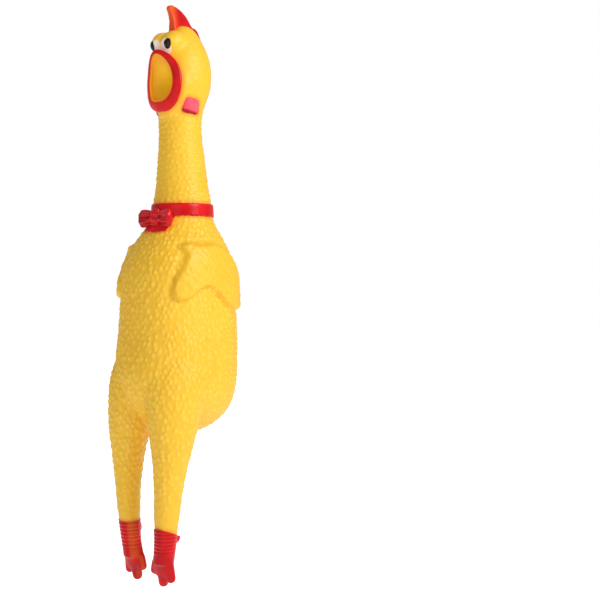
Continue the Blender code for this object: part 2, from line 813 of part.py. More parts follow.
def build_toes(mats):
    """A broad foot with three short toes side by side."""
    palm = loft("toes", [foot_section(*station) for station in FOOT_STATIONS])
    combine(palm, "UNION", [toe(f"toe_{k}", *sizes) for k, sizes in enumerate(TOES)])
    combine(palm, "INTERSECT", [slab(-190, LEG_CUTS[6] - GAP / MM)])
    hollow = leg_form("hollow", change=-WALL / MM, sides=INNER_LEG_SIDES)
    combine(palm, "DIFFERENCE", [hollow])
    finish_pair(palm, "toes_skin", mats["red_paint"], TOES_Z)


def foot_section(height, cx, cy, half_x, half_y):
    ring = []
    for k in range(FOOT_SIDES):
        turn = 2 * math.pi * k / FOOT_SIDES
        ring.append((cx + half_x * math.cos(turn), cy + half_y * math.sin(turn), height))
    return ring


def toe(name, root, tip, radius_root, radius_tip):
    root, tip = Vector(root), Vector(tip)
    along = (tip - root).normalized()
    side = along.cross(Vector((0, 1, 0))).normalized()
    other = side.cross(along)
    sections = []
    steps = ((0.0, 0.6), (0.12, 1.0), (0.5, 1.0), (0.82, 1.0), (0.95, 0.7))
    for part, size in steps:
        middle = root + (tip - root) * part
        radius = (radius_root + (radius_tip - radius_root) * part) * size
        ring = []
        for k in range(12):
            turn = 2 * math.pi * k / 12
            ring.append(tuple(middle + (side * math.cos(turn) + other * math.sin(turn)) * radius))
        sections.append(ring)
    return loft(name, sections, end=tuple(tip))


# ---------------------------------------------------------------- squeaker
def build_squeaker(mats):
    z = SQUEAKER_AXIS_Z
    front, back = SQUEAKER_FRONT_Y, SQUEAKER_BACK_Y
    nod = (0, 0, HEAD_NOD_Z)
    cup = cylinder_y("cup", SQUEAKER_RADIUS, front, back, z=z)
    room = cylinder_y("room", SQUEAKER_RADIUS - SQUEAKER_WALL, front + 1.2, back + 2, z=z)
    mouth = cylinder_y("mouth", 2.6, front - 2, front + 3, z=z, segments=16)
    combine(cup, "DIFFERENCE", [room, mouth])
    finish(cup, "squeaker_cup", mats["squeaker_plastic"], nod)

    cap = cylinder_y("cap", SQUEAKER_RADIUS, back + 0.3, back + 1.8, z=z)
    vent = cylinder_y("vent", 2.4, back - 2, back + 6, z=z - 3.4, segments=16)
    combine(cap, "DIFFERENCE", [vent])
    finish(cap, "squeaker_cap", mats["squeaker_plastic"], nod)

    shallot = box("shallot", (-3.2, -1.8, REED_Z - 3.4), (3.2, back - 0.3, REED_Z - 1.2))
    groove = box("groove", (-1.4, -3.0, REED_Z - 2.6), (1.4, 3.4, REED_Z))
    combine(shallot, "DIFFERENCE", [groove])
    finish(shallot, "squeaker_shallot", mats["squeaker_plastic"], nod)

    tip_y = REED_HINGE_Y - REED_LENGTH
    reed = box("reed", (-2.2, tip_y + 0.6, REED_Z - 0.2), (2.2, REED_HINGE_Y + 1.4, REED_Z + 0.2))
    finish(reed, "squeaker_reed", mats["reed_film"], (0, REED_HINGE_Y, REED_Z))

    wedge = box(
        "wedge",
        (-2.4, REED_HINGE_Y - 1.2, REED_Z + 0.5),
        (2.4, REED_HINGE_Y + 1.4, REED_Z + 2.6),
    )
    finish(wedge, "squeaker_wedge", mats["squeaker_plastic"], nod)


# ---------------------------------------------------------------- build
def main():
    clear_scene()
    mats = make_materials()
    form_out = body_form("form_out")
    plain = body_form("plain", sides=INNER_BODY_SIDES)
    form_in = grown(plain, "form_in", -WALL / MM)
    discard(plain)
    build_torso(form_out, form_in, mats)
    build_collar(form_out, mats)
    build_neck(form_out, form_in, mats)
    build_head(form_out, form_in, mats)
    build_legs(mats)
    build_squeaker(mats)
    discard(form_out, form_in)


main()
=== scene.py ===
"""Looks for the rubber chicken: a soft, pimpled vinyl skin, sprayed paint and glossy eyes.

Everything is in the CAD frame. Lengths below are in millimetres until a mesh is made.
The CAD skin is plain, so its driving dimensions are repeated here and built finely.
"""

import contextlib
import itertools
import math

import bmesh
import bpy
import numpy as np
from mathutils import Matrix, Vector, kdtree
from mathutils.bvhtree import BVHTree


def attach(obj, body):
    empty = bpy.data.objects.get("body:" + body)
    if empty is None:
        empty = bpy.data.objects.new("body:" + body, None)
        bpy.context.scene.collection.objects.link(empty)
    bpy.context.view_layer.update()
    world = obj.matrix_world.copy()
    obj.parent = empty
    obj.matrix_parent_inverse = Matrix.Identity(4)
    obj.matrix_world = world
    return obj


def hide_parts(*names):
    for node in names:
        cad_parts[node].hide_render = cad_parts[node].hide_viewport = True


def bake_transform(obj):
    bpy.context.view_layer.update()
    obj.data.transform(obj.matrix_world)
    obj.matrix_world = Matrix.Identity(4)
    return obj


MM = 0.001
PATCH_SIDES, PATCH_RINGS = 72, 14
SEED = 20

# ---- the CAD's driving sizes
# height, half width (X), half depth (Y), centre in Y, squareness of the section
BODY_STATIONS = (
    (-73.4, 6.7, 7.7, -2, 2), (-70.7, 14.3, 16.9, -2, 2.1),
    (-64.8, 23.6, 27.2, -2.2, 2.2), (-57.3, 30.2, 34.3, -3, 2.3),
    (-46, 35.4, 39.5, -5, 2.4), (-34, 37.7, 41.5, -6, 2.4),
    (-18, 37.7, 41.5, -5.4, 2.4), (0, 36.9, 40.3, -4.4, 2.4),
    (20, 35.9, 39.3, -4, 2.4), (35, 35.1, 38.3, -3.7, 2.4),
    (48, 33.2, 35.7, -3, 2.4), (60, 28.9, 30.3, -2, 2.3),
    (70, 24, 24.6, -1, 2.1), (77.5, 20.8, 21, -0.2, 2),
    (87, 20, 20, 0, 2), (98, 18.3, 18.3, -0.2, 2),
    (110, 17, 17, -0.6, 2), (121, 16, 16, -1, 2),
    (131, 15, 15, -1.6, 2), (139, 14.7, 14.7, -1.9, 2),
    (147, 14.9, 14.9, -1.8, 2), (153, 15.8, 15.8, -1.2, 2),
    (159, 17.5, 17.5, -0.5, 2), (167, 19.6, 19.6, 0, 2),
    (176, 20.4, 20.4, 0, 2), (185, 19.6, 19.6, 0, 2),
    (192, 17.6, 17.6, 0, 2), (198.5, 14.6, 14.6, 0, 2),
    (203.5, 11.8, 11.8, 0, 2), (207.6, 8.8, 8.8, 0, 2),
    (210.3, 5.2, 5.2, 0, 2),
)
BODY_BOTTOM = -74.2
BODY_TOP = 211.5

# left leg: height, centre X, centre Y, radius
LEG_STATIONS = (
    (-14, 16, -22, 17), (-30, 18, -25.4, 19.2), (-46, 19.4, -27.8, 18.7),
    (-60, 20.3, -29.7, 16.8), (-72, 21, -31.1, 14.5), (-84, 21, -32.3, 12.2),
    (-97, 20.5, -33.3, 10.2), (-112, 19.6, -34.1, 8.9), (-127, 18.5, -34.4, 8),
    (-139, 17.5, -34.2, 7.1), (-148, 16.4, -34, 6.7), (-157, 15, -34.2, 6.6),
)
LEG_TWIST = 0.045

MOUTH_CENTRE_Z = 171.0
MOUTH_HALF_WIDTH = 12.9
MOUTH_HALF_HEIGHT = 17.7
MOUTH_PEAR = 0.09  # how much narrower the top is than the middle
MOUTH_STEPS = 72
LINING_DEPTH = 4.5
LINING_THICK = 1.6
LIP_LEAN = math.radians(28)  # how far the lips turn back toward the cheeks
LIP_FRONT, LIP_BACK = 1.6, 2.6

EYE_CENTRE = Vector((5.2, -15.0, 195.8))
EYE_RADIUS = 7.2
BROW_CENTRE = Vector((5.6, -12.4, 197.6))
BROW_RADIUS = 7.8
WHITE_CENTRE = (4.5, 193.2)  # X and Z of the creamy patch
WHITE_HALF = (5.2, 6.2)
PUPIL_CENTRE = (7.2, 194.6)
PUPIL_HALF = (2.5, 3.7)
PUPIL_LEAN = math.radians(14)
FACE_Y = -23.0  # in front of both, where their points are dropped from

WATTLE_TURN = math.radians(-22)  # round the neck from the left side
WATTLE_LEAN = math.radians(-8)
WATTLE_PLACE = (17.0, 153.4)  # distance from the axis, height
WATTLE_HALF = (6.2, 5.3)

COMB_OUTLINE = (
    (-9.6, 203), (-10, 208), (-10.4, 213), (-11.6, 217.5), (-13.4, 220.8),
    (-13, 222.6), (-10.6, 223.4), (-6.2, 222.6), (-1.2, 220.3), (3.4, 216.9),
    (6.6, 213), (8.2, 210.9), (10.6, 210.9), (13.2, 209), (15.2, 205.6),
    (16.8, 201.4), (12, 197), (0, 199),
)

WING_OUTLINE = (
    (-26.5, 56), (-26, 50), (-29, 44.5), (-32.5, 37.5), (-34.5, 30),
    (-34.5, 24), (-31.5, 20.5), (-26, 21), (-21, 25), (-16.5, 28.2),
    (-12.3, 29.3), (-6, 26.5), (0.5, 21.7), (8, 16.2), (17, 12.6),
    (25, 13.4), (29.5, 20), (30, 31), (25, 43), (14, 54.5),
    (1, 60), (-12, 59.5), (-21.5, 59.5),
)
WING_RISE = 3.5
# middles (Y, Z) of the short strokes pressed into the wing
FEATHER_STROKES = (
    (-14, 41), (-10.5, 42), (-1, 42.5), (2.5, 40), (6, 37.5), (9.5, 35),
)

CHIN_CENTRE = (0.0, -13.4, 151.0)
CHIN_RADII = (8.6, 6.6, 6.6)

# the belly bulges a little over the roots of the legs (X, Z)
BELLY_OUTLINE = (
    (-20, 20), (-23.5, -6), (-22, -28), (-15, -46), (0, -57),
    (15, -46), (22, -28), (23.5, -6), (20, 20), (0, 30),
)
BELLY_RISE = 0.5

COLLAR_Z = (77.6, 86.6)
COLLAR_FRONT_DROP = 11.0
BOW_CENTRE = np.array((0.0, -24.8, 76.4))
BOW_LENGTH = 15.5
BOW_FORWARD = 1.4  # how far a loop's end stands in front of the knot
BOW_SAG = 0.4
KNOT_RADII = (3.9, 4.3, 6.4)

COMB_HALF_THICK = 3.4
COMB_TAPER = 0.42
COMB_ROOT_Z = 203.0

# foot below the ankle: height, centre X, centre Y, half width, half depth
PALM_STATIONS = (
    (-166, 13.2, -33, 7.6, 3), (-163, 13.4, -33.2, 9.6, 3.7),
    (-158, 14, -33.8, 9.2, 4.6), (-152, 15.2, -34.2, 7.8, 6),
    (-146, 16.5, -34.2, 6.7, 6.5),
)
# toes: root, tip, radius at the root and at the tip
TOES = (
    ((8.4, -33.8, -154), (5.6, -33.4, -165.6), 3, 3.2),
    ((14.2, -34, -154), (12.6, -31.6, -173.8), 3.9, 3.5),
    ((19.6, -33.8, -154), (20.4, -31.8, -170), 3.2, 3.3),
)
SPUR_Z = -138.5
SPUR_OFFSET = (1.6, 1.3, -0.5)  # outward, behind the leg's skin, below SPUR_Z
SPUR_RADII = (2.9, 2.8, 5.2)
ANKLE_RISE = 0.25  # the red skin lies over the yellow one

# ---- fineness of the skin
BODY_SIDES = 96
RING_STEP = 1.6
BALL_SIDES, BALL_RINGS = 48, 32
SKIN_VOXEL = 1.3
FOOT_VOXEL = 0.8

# pimples: spacing, radius and height
PIMPLE_SPACING = 3.75
PIMPLE_RADIUS = 1.85
PIMPLE_HEIGHT = 0.68
PIMPLE_MIN_GAP = 2.6
PIMPLE_WANDER = 0.75

SPRAY_REACH = 4.0
BUMP_DEPTH = 0.0003

# levels where the skin is parted into pieces
COLLAR_CUT = 83.0
NECK_LEVELS = (108.0, 134.0, 149.6)
LEG_LEVELS = (-75.2, -93.0)
LEG_END = -137.0  # the yellow skin ends inside the red one
FOOT_LEVEL = -140.5

# the skin of a pressed side is parted off where its lean is past these, along the direction
# SIDE_LEAN
SIDE_LEAN = Vector((math.cos(math.radians(25)), math.sin(math.radians(25)), 0.0))
SIDE_START = 20.0

SCALE_SPACING = 2.5

# paint line at each ankle: height at the middle, slope toward the back
PAINT_LINES = {"left": (-135.4, -0.42), "right": (-131.8, 0.03)}

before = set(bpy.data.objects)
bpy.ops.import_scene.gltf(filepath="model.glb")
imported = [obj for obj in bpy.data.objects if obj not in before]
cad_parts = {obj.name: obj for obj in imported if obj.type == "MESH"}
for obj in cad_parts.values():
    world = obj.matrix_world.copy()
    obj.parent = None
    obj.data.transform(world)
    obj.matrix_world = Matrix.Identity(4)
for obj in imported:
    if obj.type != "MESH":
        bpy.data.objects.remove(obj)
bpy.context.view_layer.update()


# ---- number helpers
def smoothstep(low, high, value):
    t = np.clip((value - low) / (high - low), 0.0, 1.0)
    return t * t * (3 - 2 * t)


def bent(value, power):
    """A power that keeps the sign."""
    return np.sign(value) * np.abs(value) ** power


def around(count, start=0.0):
    """Even turns of a circle."""
    return 2 * np.pi * (np.arange(count) + start) / count


def ring_of(x, y, z):
    """A ring of points, where any of the three may be one number."""
    return np.stack(np.broadcast_arrays(x, y, z), axis=1).astype(float)


def smooth_rows(rows, step):
    """Stations joined by a smooth curve and read again every step of travel."""
    rows = np.array(rows, float)
    h = np.hypot(np.diff(rows[:, 0]), np.diff(rows[:, 1]))
    s = np.concatenate([[0.0], np.cumsum(h)])
    rise = np.diff(rows, axis=0) / h[:, None]
    slope = np.zeros_like(rows)
    slope[1:-1] = (rise[:-1] * h[1:, None] + rise[1:] * h[:-1, None]) / (h[:-1] + h[1:])[:, None]
    slope[0], slope[-1] = rise[0], rise[-1]
    where = np.linspace(0.0, s[-1], max(2, int(s[-1] / step)))
    k = np.clip(np.searchsorted(s, where, side="right") - 1, 0, len(h) - 1)
    t = ((where - s[k]) / h[k])[:, None]
    gap = h[k][:, None]
    return (
        (2 * t**3 - 3 * t**2 + 1) * rows[k]
        + (t**3 - 2 * t**2 + t) * gap * slope[k]
        + (-2 * t**3 + 3 * t**2) * rows[k + 1]
        + (t**3 - t**2) * gap * slope[k + 1]
    )


def closed_curve(points, per_span=8):
    """A smooth closed line through the points (uniform Catmull-Rom)."""
    points = np.array(points, float)
    before, after = np.roll(points, 1, axis=0), np.roll(points, -1, axis=0)
    beyond = np.roll(points, -2, axis=0)
    out = []
    for k in range(len(points)):
        for t in np.arange(per_span) / per_span:
            point = 2 * points[k] + (after[k] - before[k]) * t
            point += (2 * before[k] - 5 * points[k] + 4 * after[k] - beyond[k]) * t**2
            point += (3 * points[k] - before[k] - 3 * after[k] + beyond[k]) * t**3
            out.append(0.5 * point)
    return np.array(out)


def inside_distance(points, outline):
    """Distance to a closed 2-D outline, positive inside it."""
    best = np.full(len(points), 1e9)
    crossings = np.zeros(len(points), int)
    for a, b in zip(outline, np.roll(outline, -1, axis=0)):
        edge = b - a
        t = np.clip(((points - a) @ edge) / max(edge @ edge, 1e-12), 0, 1)
        best = np.minimum(best, np.linalg.norm(points - a - t[:, None] * edge, axis=1))
        spans = (a[1] > points[:, 1]) != (b[1] > points[:, 1])
        rise = edge[1] if edge[1] else 1e-12
        at = a[0] + edge[0] * (points[:, 1] - a[1]) / rise
        crossings += spans & (points[:, 0] < at)
    return np.where(crossings % 2 == 1, best, -best)


# ---- mesh helpers
def linked(name, data):
    obj = bpy.data.objects.new(name, data)
    bpy.context.scene.collection.objects.link(obj)
    return obj


def new_object(name, points, faces):
    """A mesh object from points in millimetres."""
    mesh = bpy.data.meshes.new(name)
    mesh.from_pydata((np.array(points, float) * MM).tolist(), [], [tuple(f) for f in faces])
    mesh.update()
    return linked(name, mesh)


def read(items, field, width=3):
    out = np.zeros(len(items) * width, np.float32)
    items.foreach_get(field, out)
    return out.reshape(-1, width)


def points_of(obj):
    return read(obj.data.vertices, "co").astype(float) / MM


def set_points(obj, points):
    obj.data.vertices.foreach_set("co", (points * MM).astype(np.float32).ravel())
    obj.data.update()


def normals_of(obj):
    return read(obj.data.vertex_normals, "vector").astype(float)


def store(obj, name, values):
    """Keeps a number or a vector at each point of a mesh."""
    values = np.asarray(values, np.float32)
    kind, field = ("FLOAT", "value") if values.ndim == 1 else ("FLOAT_VECTOR", "vector")
    obj.data.attributes.new(name, kind, "POINT").data.foreach_set(field, values.ravel())


@contextlib.contextmanager
def edited(mesh, result=None):
    """A mesh opened for editing and written back, or written to result."""
    sheet = bmesh.new()
    sheet.from_mesh(mesh)
    yield sheet
    sheet.to_mesh(result or mesh)
    sheet.free()


def cut(sheet, place, normal, clear=False):
    """Cuts a sheet along a plane; clear also takes away what lies past it."""
    geometry = list(sheet.verts) + list(sheet.edges) + list(sheet.faces)
    where = {"plane_co": Vector(place) * MM, "plane_no": normal}
    bmesh.ops.bisect_plane(sheet, geom=geometry, clear_outer=clear, dist=1e-7, **where)


def nearest_of(places):
    """A search for the nearest of these points."""
    lookup = kdtree.KDTree(len(places))
    for k, place in enumerate(places):
        lookup.insert(Vector(place), k)
    lookup.balance()
    return lookup


def apply_modifier(obj, kind, **settings):
    step = obj.modifiers.new(kind.lower(), kind)
    for key, value in settings.items():
        setattr(step, key, value)
    graph = bpy.context.evaluated_depsgraph_get()
    mesh = bpy.data.meshes.new_from_object(obj.evaluated_get(graph))
    obj.modifiers.clear()
    old = obj.data
    obj.data = mesh
    bpy.data.meshes.remove(old)
    return obj


def band(count, here, there):
    """Faces between two rings of points, which start at these numbers."""
    steps = [(k, (k + 1) % count) for k in range(count)]
    return [(here + k, here + n, there + n, there + k) for k, n in steps]


def ring_solid(rings, start=None, end=None):
    """Points and faces of a closed form through equal rings; ends are poles or flat caps."""
    points = [np.asarray(r, float) for r in rings]
    count = len(points[0])
    last, tip = (len(rings) - 1) * count, len(rings) * count
    faces = []
    for base in range(0, last, count):
        faces += band(count, base, base + count)
    for pole, base, flip in ((start, 0, True), (end, last, False)):
        ring = [base + k for k in range(count)]
        if pole is None:
            faces.append(tuple(ring[::-1] if flip else ring))
            continue
        points.append(np.array([pole], float))
        for a, b in zip(ring, ring[1:] + ring[:1]):
            faces.append((b, a, tip) if flip else (a, b, tip))
        tip += 1
    return np.concatenate(points), faces


def torus_solid(rings):
    """Points and faces of a closed loop of equal rings."""
    count, turns = len(rings[0]), len(rings)
    faces = []
    for level in range(turns):
        faces += band(count, level * count, (level + 1) % turns * count)
    return np.concatenate(rings), faces


def ball_solid(centre, radii):
    centre, radii = np.array(centre, float), np.array(radii, float)
    turn = around(BALL_SIDES)
    loops = []
    for level in range(1, BALL_RINGS):
        fall = math.pi * level / BALL_RINGS
        wide = np.sin(fall)
        unit = ring_of(wide * np.cos(turn), wide * np.sin(turn), -np.cos(fall))
        loops.append(centre + unit * radii)
    pole = (0, 0, radii[2])
    return ring_solid(loops, start=centre - pole, end=centre + pole)


def mirrored_solid(solid):
    points, faces = solid
    return points * (-1, 1, 1), [tuple(reversed(f)) for f in faces]


def merged(name, solids):
    points, faces, base = [], [], 0
    for some, some_faces in solids:
        points.append(some)
        faces += [tuple(v + base for v in f) for f in some_faces]
        base += len(some)
    return new_object(name, np.concatenate(points), faces)


def fused(name, solids, voxel, smoothing):
    """Overlapping solids melted into one skin, smoothed and refined once."""
    obj = merged(name, solids)
    apply_modifier(obj, "REMESH", mode="VOXEL", voxel_size=voxel * MM, adaptivity=0.0)
    apply_modifier(obj, "SMOOTH", factor=0.5, iterations=smoothing)
    apply_modifier(obj, "SUBSURF", levels=1, render_levels=1)
    return obj


# ---- forms
def oval_rings(rows, sides):
    turn = around(sides, 0.5)
    c, s = np.cos(turn), np.sin(turn)
    return [
        ring_of(a * bent(c, 2 / n), cy + b * bent(s, 2 / n), z) for z, a, b, cy, n in rows
    ]


def body_rows():
    return smooth_rows(BODY_STATIONS, RING_STEP)


def body_solid():
    rows = body_rows()
    low = (0, BODY_STATIONS[0][3], BODY_BOTTOM)
    return ring_solid(oval_rings(rows, BODY_SIDES), start=low, end=(0, 0, BODY_TOP))


def leg_rings(rows, sides=48):
    turn = around(sides)
    rings = []
    for z, cx, cy, radius in rows:
        size = radius * (1 + LEG_TWIST * np.cos(2 * (turn - np.pi / 4)))
        rings.append(ring_of(cx + size * np.cos(turn), cy + size * np.sin(turn), z))
    return rings


def leg_solid():
    return ring_solid(leg_rings(smooth_rows(LEG_STATIONS, RING_STEP)[::-1]))


def mouth_path(turn, outward=0.0, back=0.0):
    """A pear-shaped line round the beak: narrow above, wide and square below."""
    s, c = math.sin(turn), math.cos(turn)
    wide = (MOUTH_HALF_WIDTH + outward) * (1 - MOUTH_PEAR * c)
    z = MOUTH_CENTRE_Z + (MOUTH_HALF_HEIGHT + outward) * c
    reach = 17.2 + (5.8 if c > 0 else 2.6) * abs(c) ** 2.4
    return np.array((wide * bent(s, 0.89 + 0.15 * c), back - reach, z))


def from_mouth(points):
    """How far points are from the mouth's middle, 1 at its edge."""
    x, _, z = points.T
    return np.hypot(x / MOUTH_HALF_WIDTH, (z - MOUTH_CENTRE_Z) / MOUTH_HALF_HEIGHT)


def mouth_ring(outward, back=0.0):
    return np.array([mouth_path(-turn, outward, back) for turn in around(MOUTH_STEPS)])


def muzzle_solid():
    """The face swells softly out to the lips."""
    root = mouth_ring(4.6)
    root[:, 1] = -5.0
    rings = [root]
    for part in np.linspace(0, 1, 7):
        rings.append(mouth_ring(4.0 * (1 - part) ** 1.5 + 0.3, back=5.0 * (1 - part)))
    return ring_solid(rings)


# ---- the yellow skin
def pimple_centres(skin_tree, rng):
    """Rows of pimples round the body and legs, each row half a step past the last."""
    found = []

    def add_rows(rows, spacing, ring_at):
        travelled, level = 0.0, 0
        previous = rows[0]
        for row in rows[1:]:
            travelled += math.hypot(row[0] - previous[0], row[1] - previous[1])
            previous = row
            if travelled < spacing * 0.87:
                continue
            travelled, level, ring = 0.0, level + 1, ring_at(row)
            length = np.linalg.norm(np.roll(ring, -1, axis=0) - ring, axis=1)
            total = length.sum()
            count = max(6, int(round(total / spacing)))
            along = np.concatenate([[0.0], np.cumsum(length)])[:-1]
            for k in range(count):
                target = (k + 0.5 * (level % 2)) / count * total
                pick = int(np.argmin(np.abs(along - target % total)))
                found.append(ring[pick] + rng.normal(0, PIMPLE_WANDER, 3))

    add_rows(smooth_rows(BODY_STATIONS, 0.4), PIMPLE_SPACING, lambda r: oval_rings([r], 360)[0])
    legs = smooth_rows(LEG_STATIONS, 0.4)
    for sign in (1, -1):
        add_rows(legs, PIMPLE_SPACING * 0.95, lambda r: leg_rings([r], 120)[0] * (sign, 1, 1))
    kept, grid = [], {}
    steps = list(itertools.product((-1, 0, 1), repeat=3))
    for point in found:
        on_skin, _, _, gap = skin_tree.find_nearest(Vector(point) * MM)
        if on_skin is None or gap > 2.4 * MM:
            continue
        spot = np.array(on_skin) / MM
        cell = (spot // PIMPLE_MIN_GAP).astype(int)
        others = [o for step in steps for o in grid.get(tuple(cell + step), ())]
        if any(np.sum((other - spot) ** 2) < PIMPLE_MIN_GAP**2 for other in others):
            continue
        grid.setdefault(tuple(cell), []).append(spot)
        kept.append(spot)
    return np.array(kept)


def pimple_domes(points, centres, rng):
    """Height of the nearest pimples at each point, each with its own size."""
    lookup = nearest_of(centres)
    size = PIMPLE_RADIUS * rng.uniform(0.74, 1.16, len(centres))
    height = rng.uniform(0.55, 1.1, len(centres))
    nearest = np.array([[hit[1] for hit in lookup.find_n(Vector(p), 3)] for p in points])
    # on the breast they are drawn out upright, on the flanks and neck across
    upright = np.where(points[:, 1] < 0, 0.72, 1.08)
    upright = upright + (1.4 - upright) * smoothstep(84, 94, points[:, 2])
    best = np.zeros(len(points))
    for pick in nearest.T:
        offset = points - centres[pick]
        offset[:, 2] *= upright
        away = np.linalg.norm(offset, axis=1) / size[pick]
        best = np.maximum(best, height[pick] * np.clip(1 - away**2, 0, 1) ** 1.3)
    return best


def wing_field(points):
    """How deep inside the folded wing's outline a point of the flank is."""
    outline = closed_curve(WING_OUTLINE, 5)
    field = np.full(len(points), -99.0)
    near = (points[:, 2] > 8) & (points[:, 2] < 68) & (np.abs(points[:, 0]) > 12)
    field[near] = inside_distance(points[near][:, 1:3], outline)
    return field


def feather_grooves(points):
    """Short strokes pressed into the wing."""
    y, z = points[:, 1], points[:, 2]
    depth = np.zeros(len(points))
    for cy, cz in FEATHER_STROKES:
        dy, dz = y - cy, z - cz
        across = dy * 0.86 + dz * 0.5
        along = -dy * 0.5 + dz * 0.86
        depth += np.exp(-((across / 0.55) ** 2) - (along / 2.6) ** 4)
    return np.clip(depth, 0, 1)


def pimple_strength(points, wing):
    """Tall on the breast and back, faint on the head, smooth on the face and rump."""
    _, y, z = points.T
    strength = 1 - 0.2 * smoothstep(84, 96, z)
    strength *= 1 - 0.55 * smoothstep(146, 156, z)
    strength *= 1 - 0.8 * smoothstep(192, 206, z)
    strength *= 1 - smoothstep(-6, -13, y) * smoothstep(150, 156, z)
    strength *= 1 - 0.6 * smoothstep(6, 22, y) * smoothstep(-34, -50, z)
    strength *= 1 - 0.45 * smoothstep(-92, -122, z)
    strength *= 1 - smoothstep(-124, -130, z)
    strength *= 1 - 0.5 * smoothstep(0.5, 3.0, wing)
    return strength


def wing_lift(points, wing):
    """The folded wing stands up from the flank, soft at the shoulder and sharp below."""
    _, y, z = points.T
    softness = 2.2 + 3.4 * smoothstep(30, 46, z)
    softness -= 1.8 * smoothstep(-15, -23, y) * smoothstep(38, 45, z)
    lift = WING_RISE * smoothstep(-0.6, softness, wing)
    lift -= 0.8 * feather_grooves(points) * (wing > 2)
    lumps = np.sin(y * 1.05 + 0.6 * np.sin(z * 0.5))
    lumps *= np.sin(z * 0.95 + 0.8 * np.sin(y * 0.4))
    lift += 0.15 * lumps * smoothstep(1.5, 5.0, wing)
    crease = 0.2 + 0.75 * smoothstep(44, 32, z)
    return lift - np.exp(-(((wing + 0.9) / 1.2) ** 2)) * crease


def belly_lift(points):
    belly = inside_distance(points[:, [0, 2]], closed_curve(BELLY_OUTLINE, 6))
    low_front = smoothstep(-16, -26, points[:, 2]) * smoothstep(-12, -22, points[:, 1])
    return BELLY_RISE * smoothstep(-0.5, 3.0, belly) * low_front


def soften_brows(skin):
    """Rounds the eye mounds into the forehead."""
    points = points_of(skin)
    amount = smoothstep(183, 189, points[:, 2]) * smoothstep(-18.5, -14.5, points[:, 1])
    group = skin.vertex_groups.new(name="brows")
    for k in np.where(amount > 0.01)[0]:
        group.add([int(k)], float(amount[k]), "REPLACE")
    apply_modifier(skin, "SMOOTH", factor=0.5, iterations=34, vertex_group="brows")
    skin.vertex_groups.clear()


def build_skin():
    """The fused form with its relief: wings, mouth recess and pimples."""
    leg = leg_solid()
    brow = ball_solid(BROW_CENTRE, (BROW_RADIUS,) * 3)
    eye = ball_solid(EYE_CENTRE, (EYE_RADIUS,) * 3)
    chin = ball_solid(CHIN_CENTRE, CHIN_RADII)
    solids = [body_solid(), leg, mirrored_solid(leg), muzzle_solid(), chin]
    solids += [brow, mirrored_solid(brow), eye, mirrored_solid(eye)]
    skin = fused("skin", solids, SKIN_VOXEL, 7)
    soften_brows(skin)

    points, normals = points_of(skin), normals_of(skin)
    rng = np.random.default_rng(SEED)
    tree = BVHTree.FromObject(skin, bpy.context.evaluated_depsgraph_get())
    centres = pimple_centres(tree, rng)
    dome = pimple_domes(points, centres, rng)
    wing = wing_field(points)
    lift = wing_lift(points, wing) + belly_lift(points)
    hollow = smoothstep(1.0, 0.86, from_mouth(points)) * (points[:, 1] < -6)
    strength = pimple_strength(points, wing) * (1 - hollow)
    points = points + normals * (lift + PIMPLE_HEIGHT * dome * strength)[:, None]
    points[:, 1] += hollow * (-2.6 - points[:, 1])
    set_points(skin, points)
    store(skin, "pimple", dome * strength)
    store(skin, "wing", wing)
    store(skin, "rest", points * MM)
    store(skin, "shade", normals_of(skin))
    return skin


def cut_skin(skin):
    """Cuts the skin's edges along every parting plane, so its pieces share their borders."""
    with edited(skin.data) as sheet:
        for z in (COLLAR_CUT, *NECK_LEVELS, *LEG_LEVELS, LEG_END):
            cut(sheet, (0, 0, z), (0, 0, 1))
        for sign in (1, -1):
            lean = Vector((SIDE_LEAN.x * sign, SIDE_LEAN.y, 0))
            cut(sheet, lean * SIDE_START, lean)
        bmesh.ops.triangulate(sheet, faces=sheet.faces)


def part_skin(skin):
    """Parts the cut skin into its pieces, each with the whole skin's shading."""
    cut_skin(skin)
    mesh = skin.data
    points = points_of(skin)
    loops = np.zeros(len(mesh.loops), np.int32)
    mesh.loops.foreach_get("vertex_index", loops)
    triangles = loops.reshape(-1, 3)
    values = [(k, read(mesh.attributes[k].data, "value", 1)[:, 0]) for k in ("pimple", "wing")]
    shade = read(mesh.attributes["shade"].data, "vector")
    x, y, z = points[triangles].mean(axis=1).T
    trunk = (z < COLLAR_CUT) & (z > LEG_LEVELS[0])
    side = trunk & (np.abs(x) * SIDE_LEAN.x + y * SIDE_LEAN.y > SIDE_START)
    low, middle, high = NECK_LEVELS

    def both(label, mask):
        return {f"skin_left_{label}": mask & (x > 0), f"skin_right_{label}": mask & (x <= 0)}

    masks = {
        "skin_body": trunk & ~side,
        **both("side", side),
        "skin_neck_base": (z > COLLAR_CUT) & (z < low),
        "skin_neck_middle": (z > low) & (z < middle),
        "skin_neck_top": (z > middle) & (z < high),
        "skin_head": z > high,
        **both("hip", (z < LEG_LEVELS[0]) & (z > LEG_LEVELS[1])),
        **both("shank", (z < LEG_LEVELS[1]) & (z > LEG_END)),
    }
    pieces = {}
    for name, mask in masks.items():
        used, index = np.unique(triangles[mask], return_inverse=True)
        piece = new_object(name, points[used], index.reshape(-1, 3))
        piece.data.validate()
        for key, value in values:
            store(piece, key, value[used])
        store(piece, "rest", points[used] * MM)
        piece.data.shade_smooth()
        piece.data.normals_split_custom_set_from_vertices(shade[used].tolist())
        pieces[name] = piece
    bpy.data.objects.remove(skin, do_unlink=True)
    return pieces


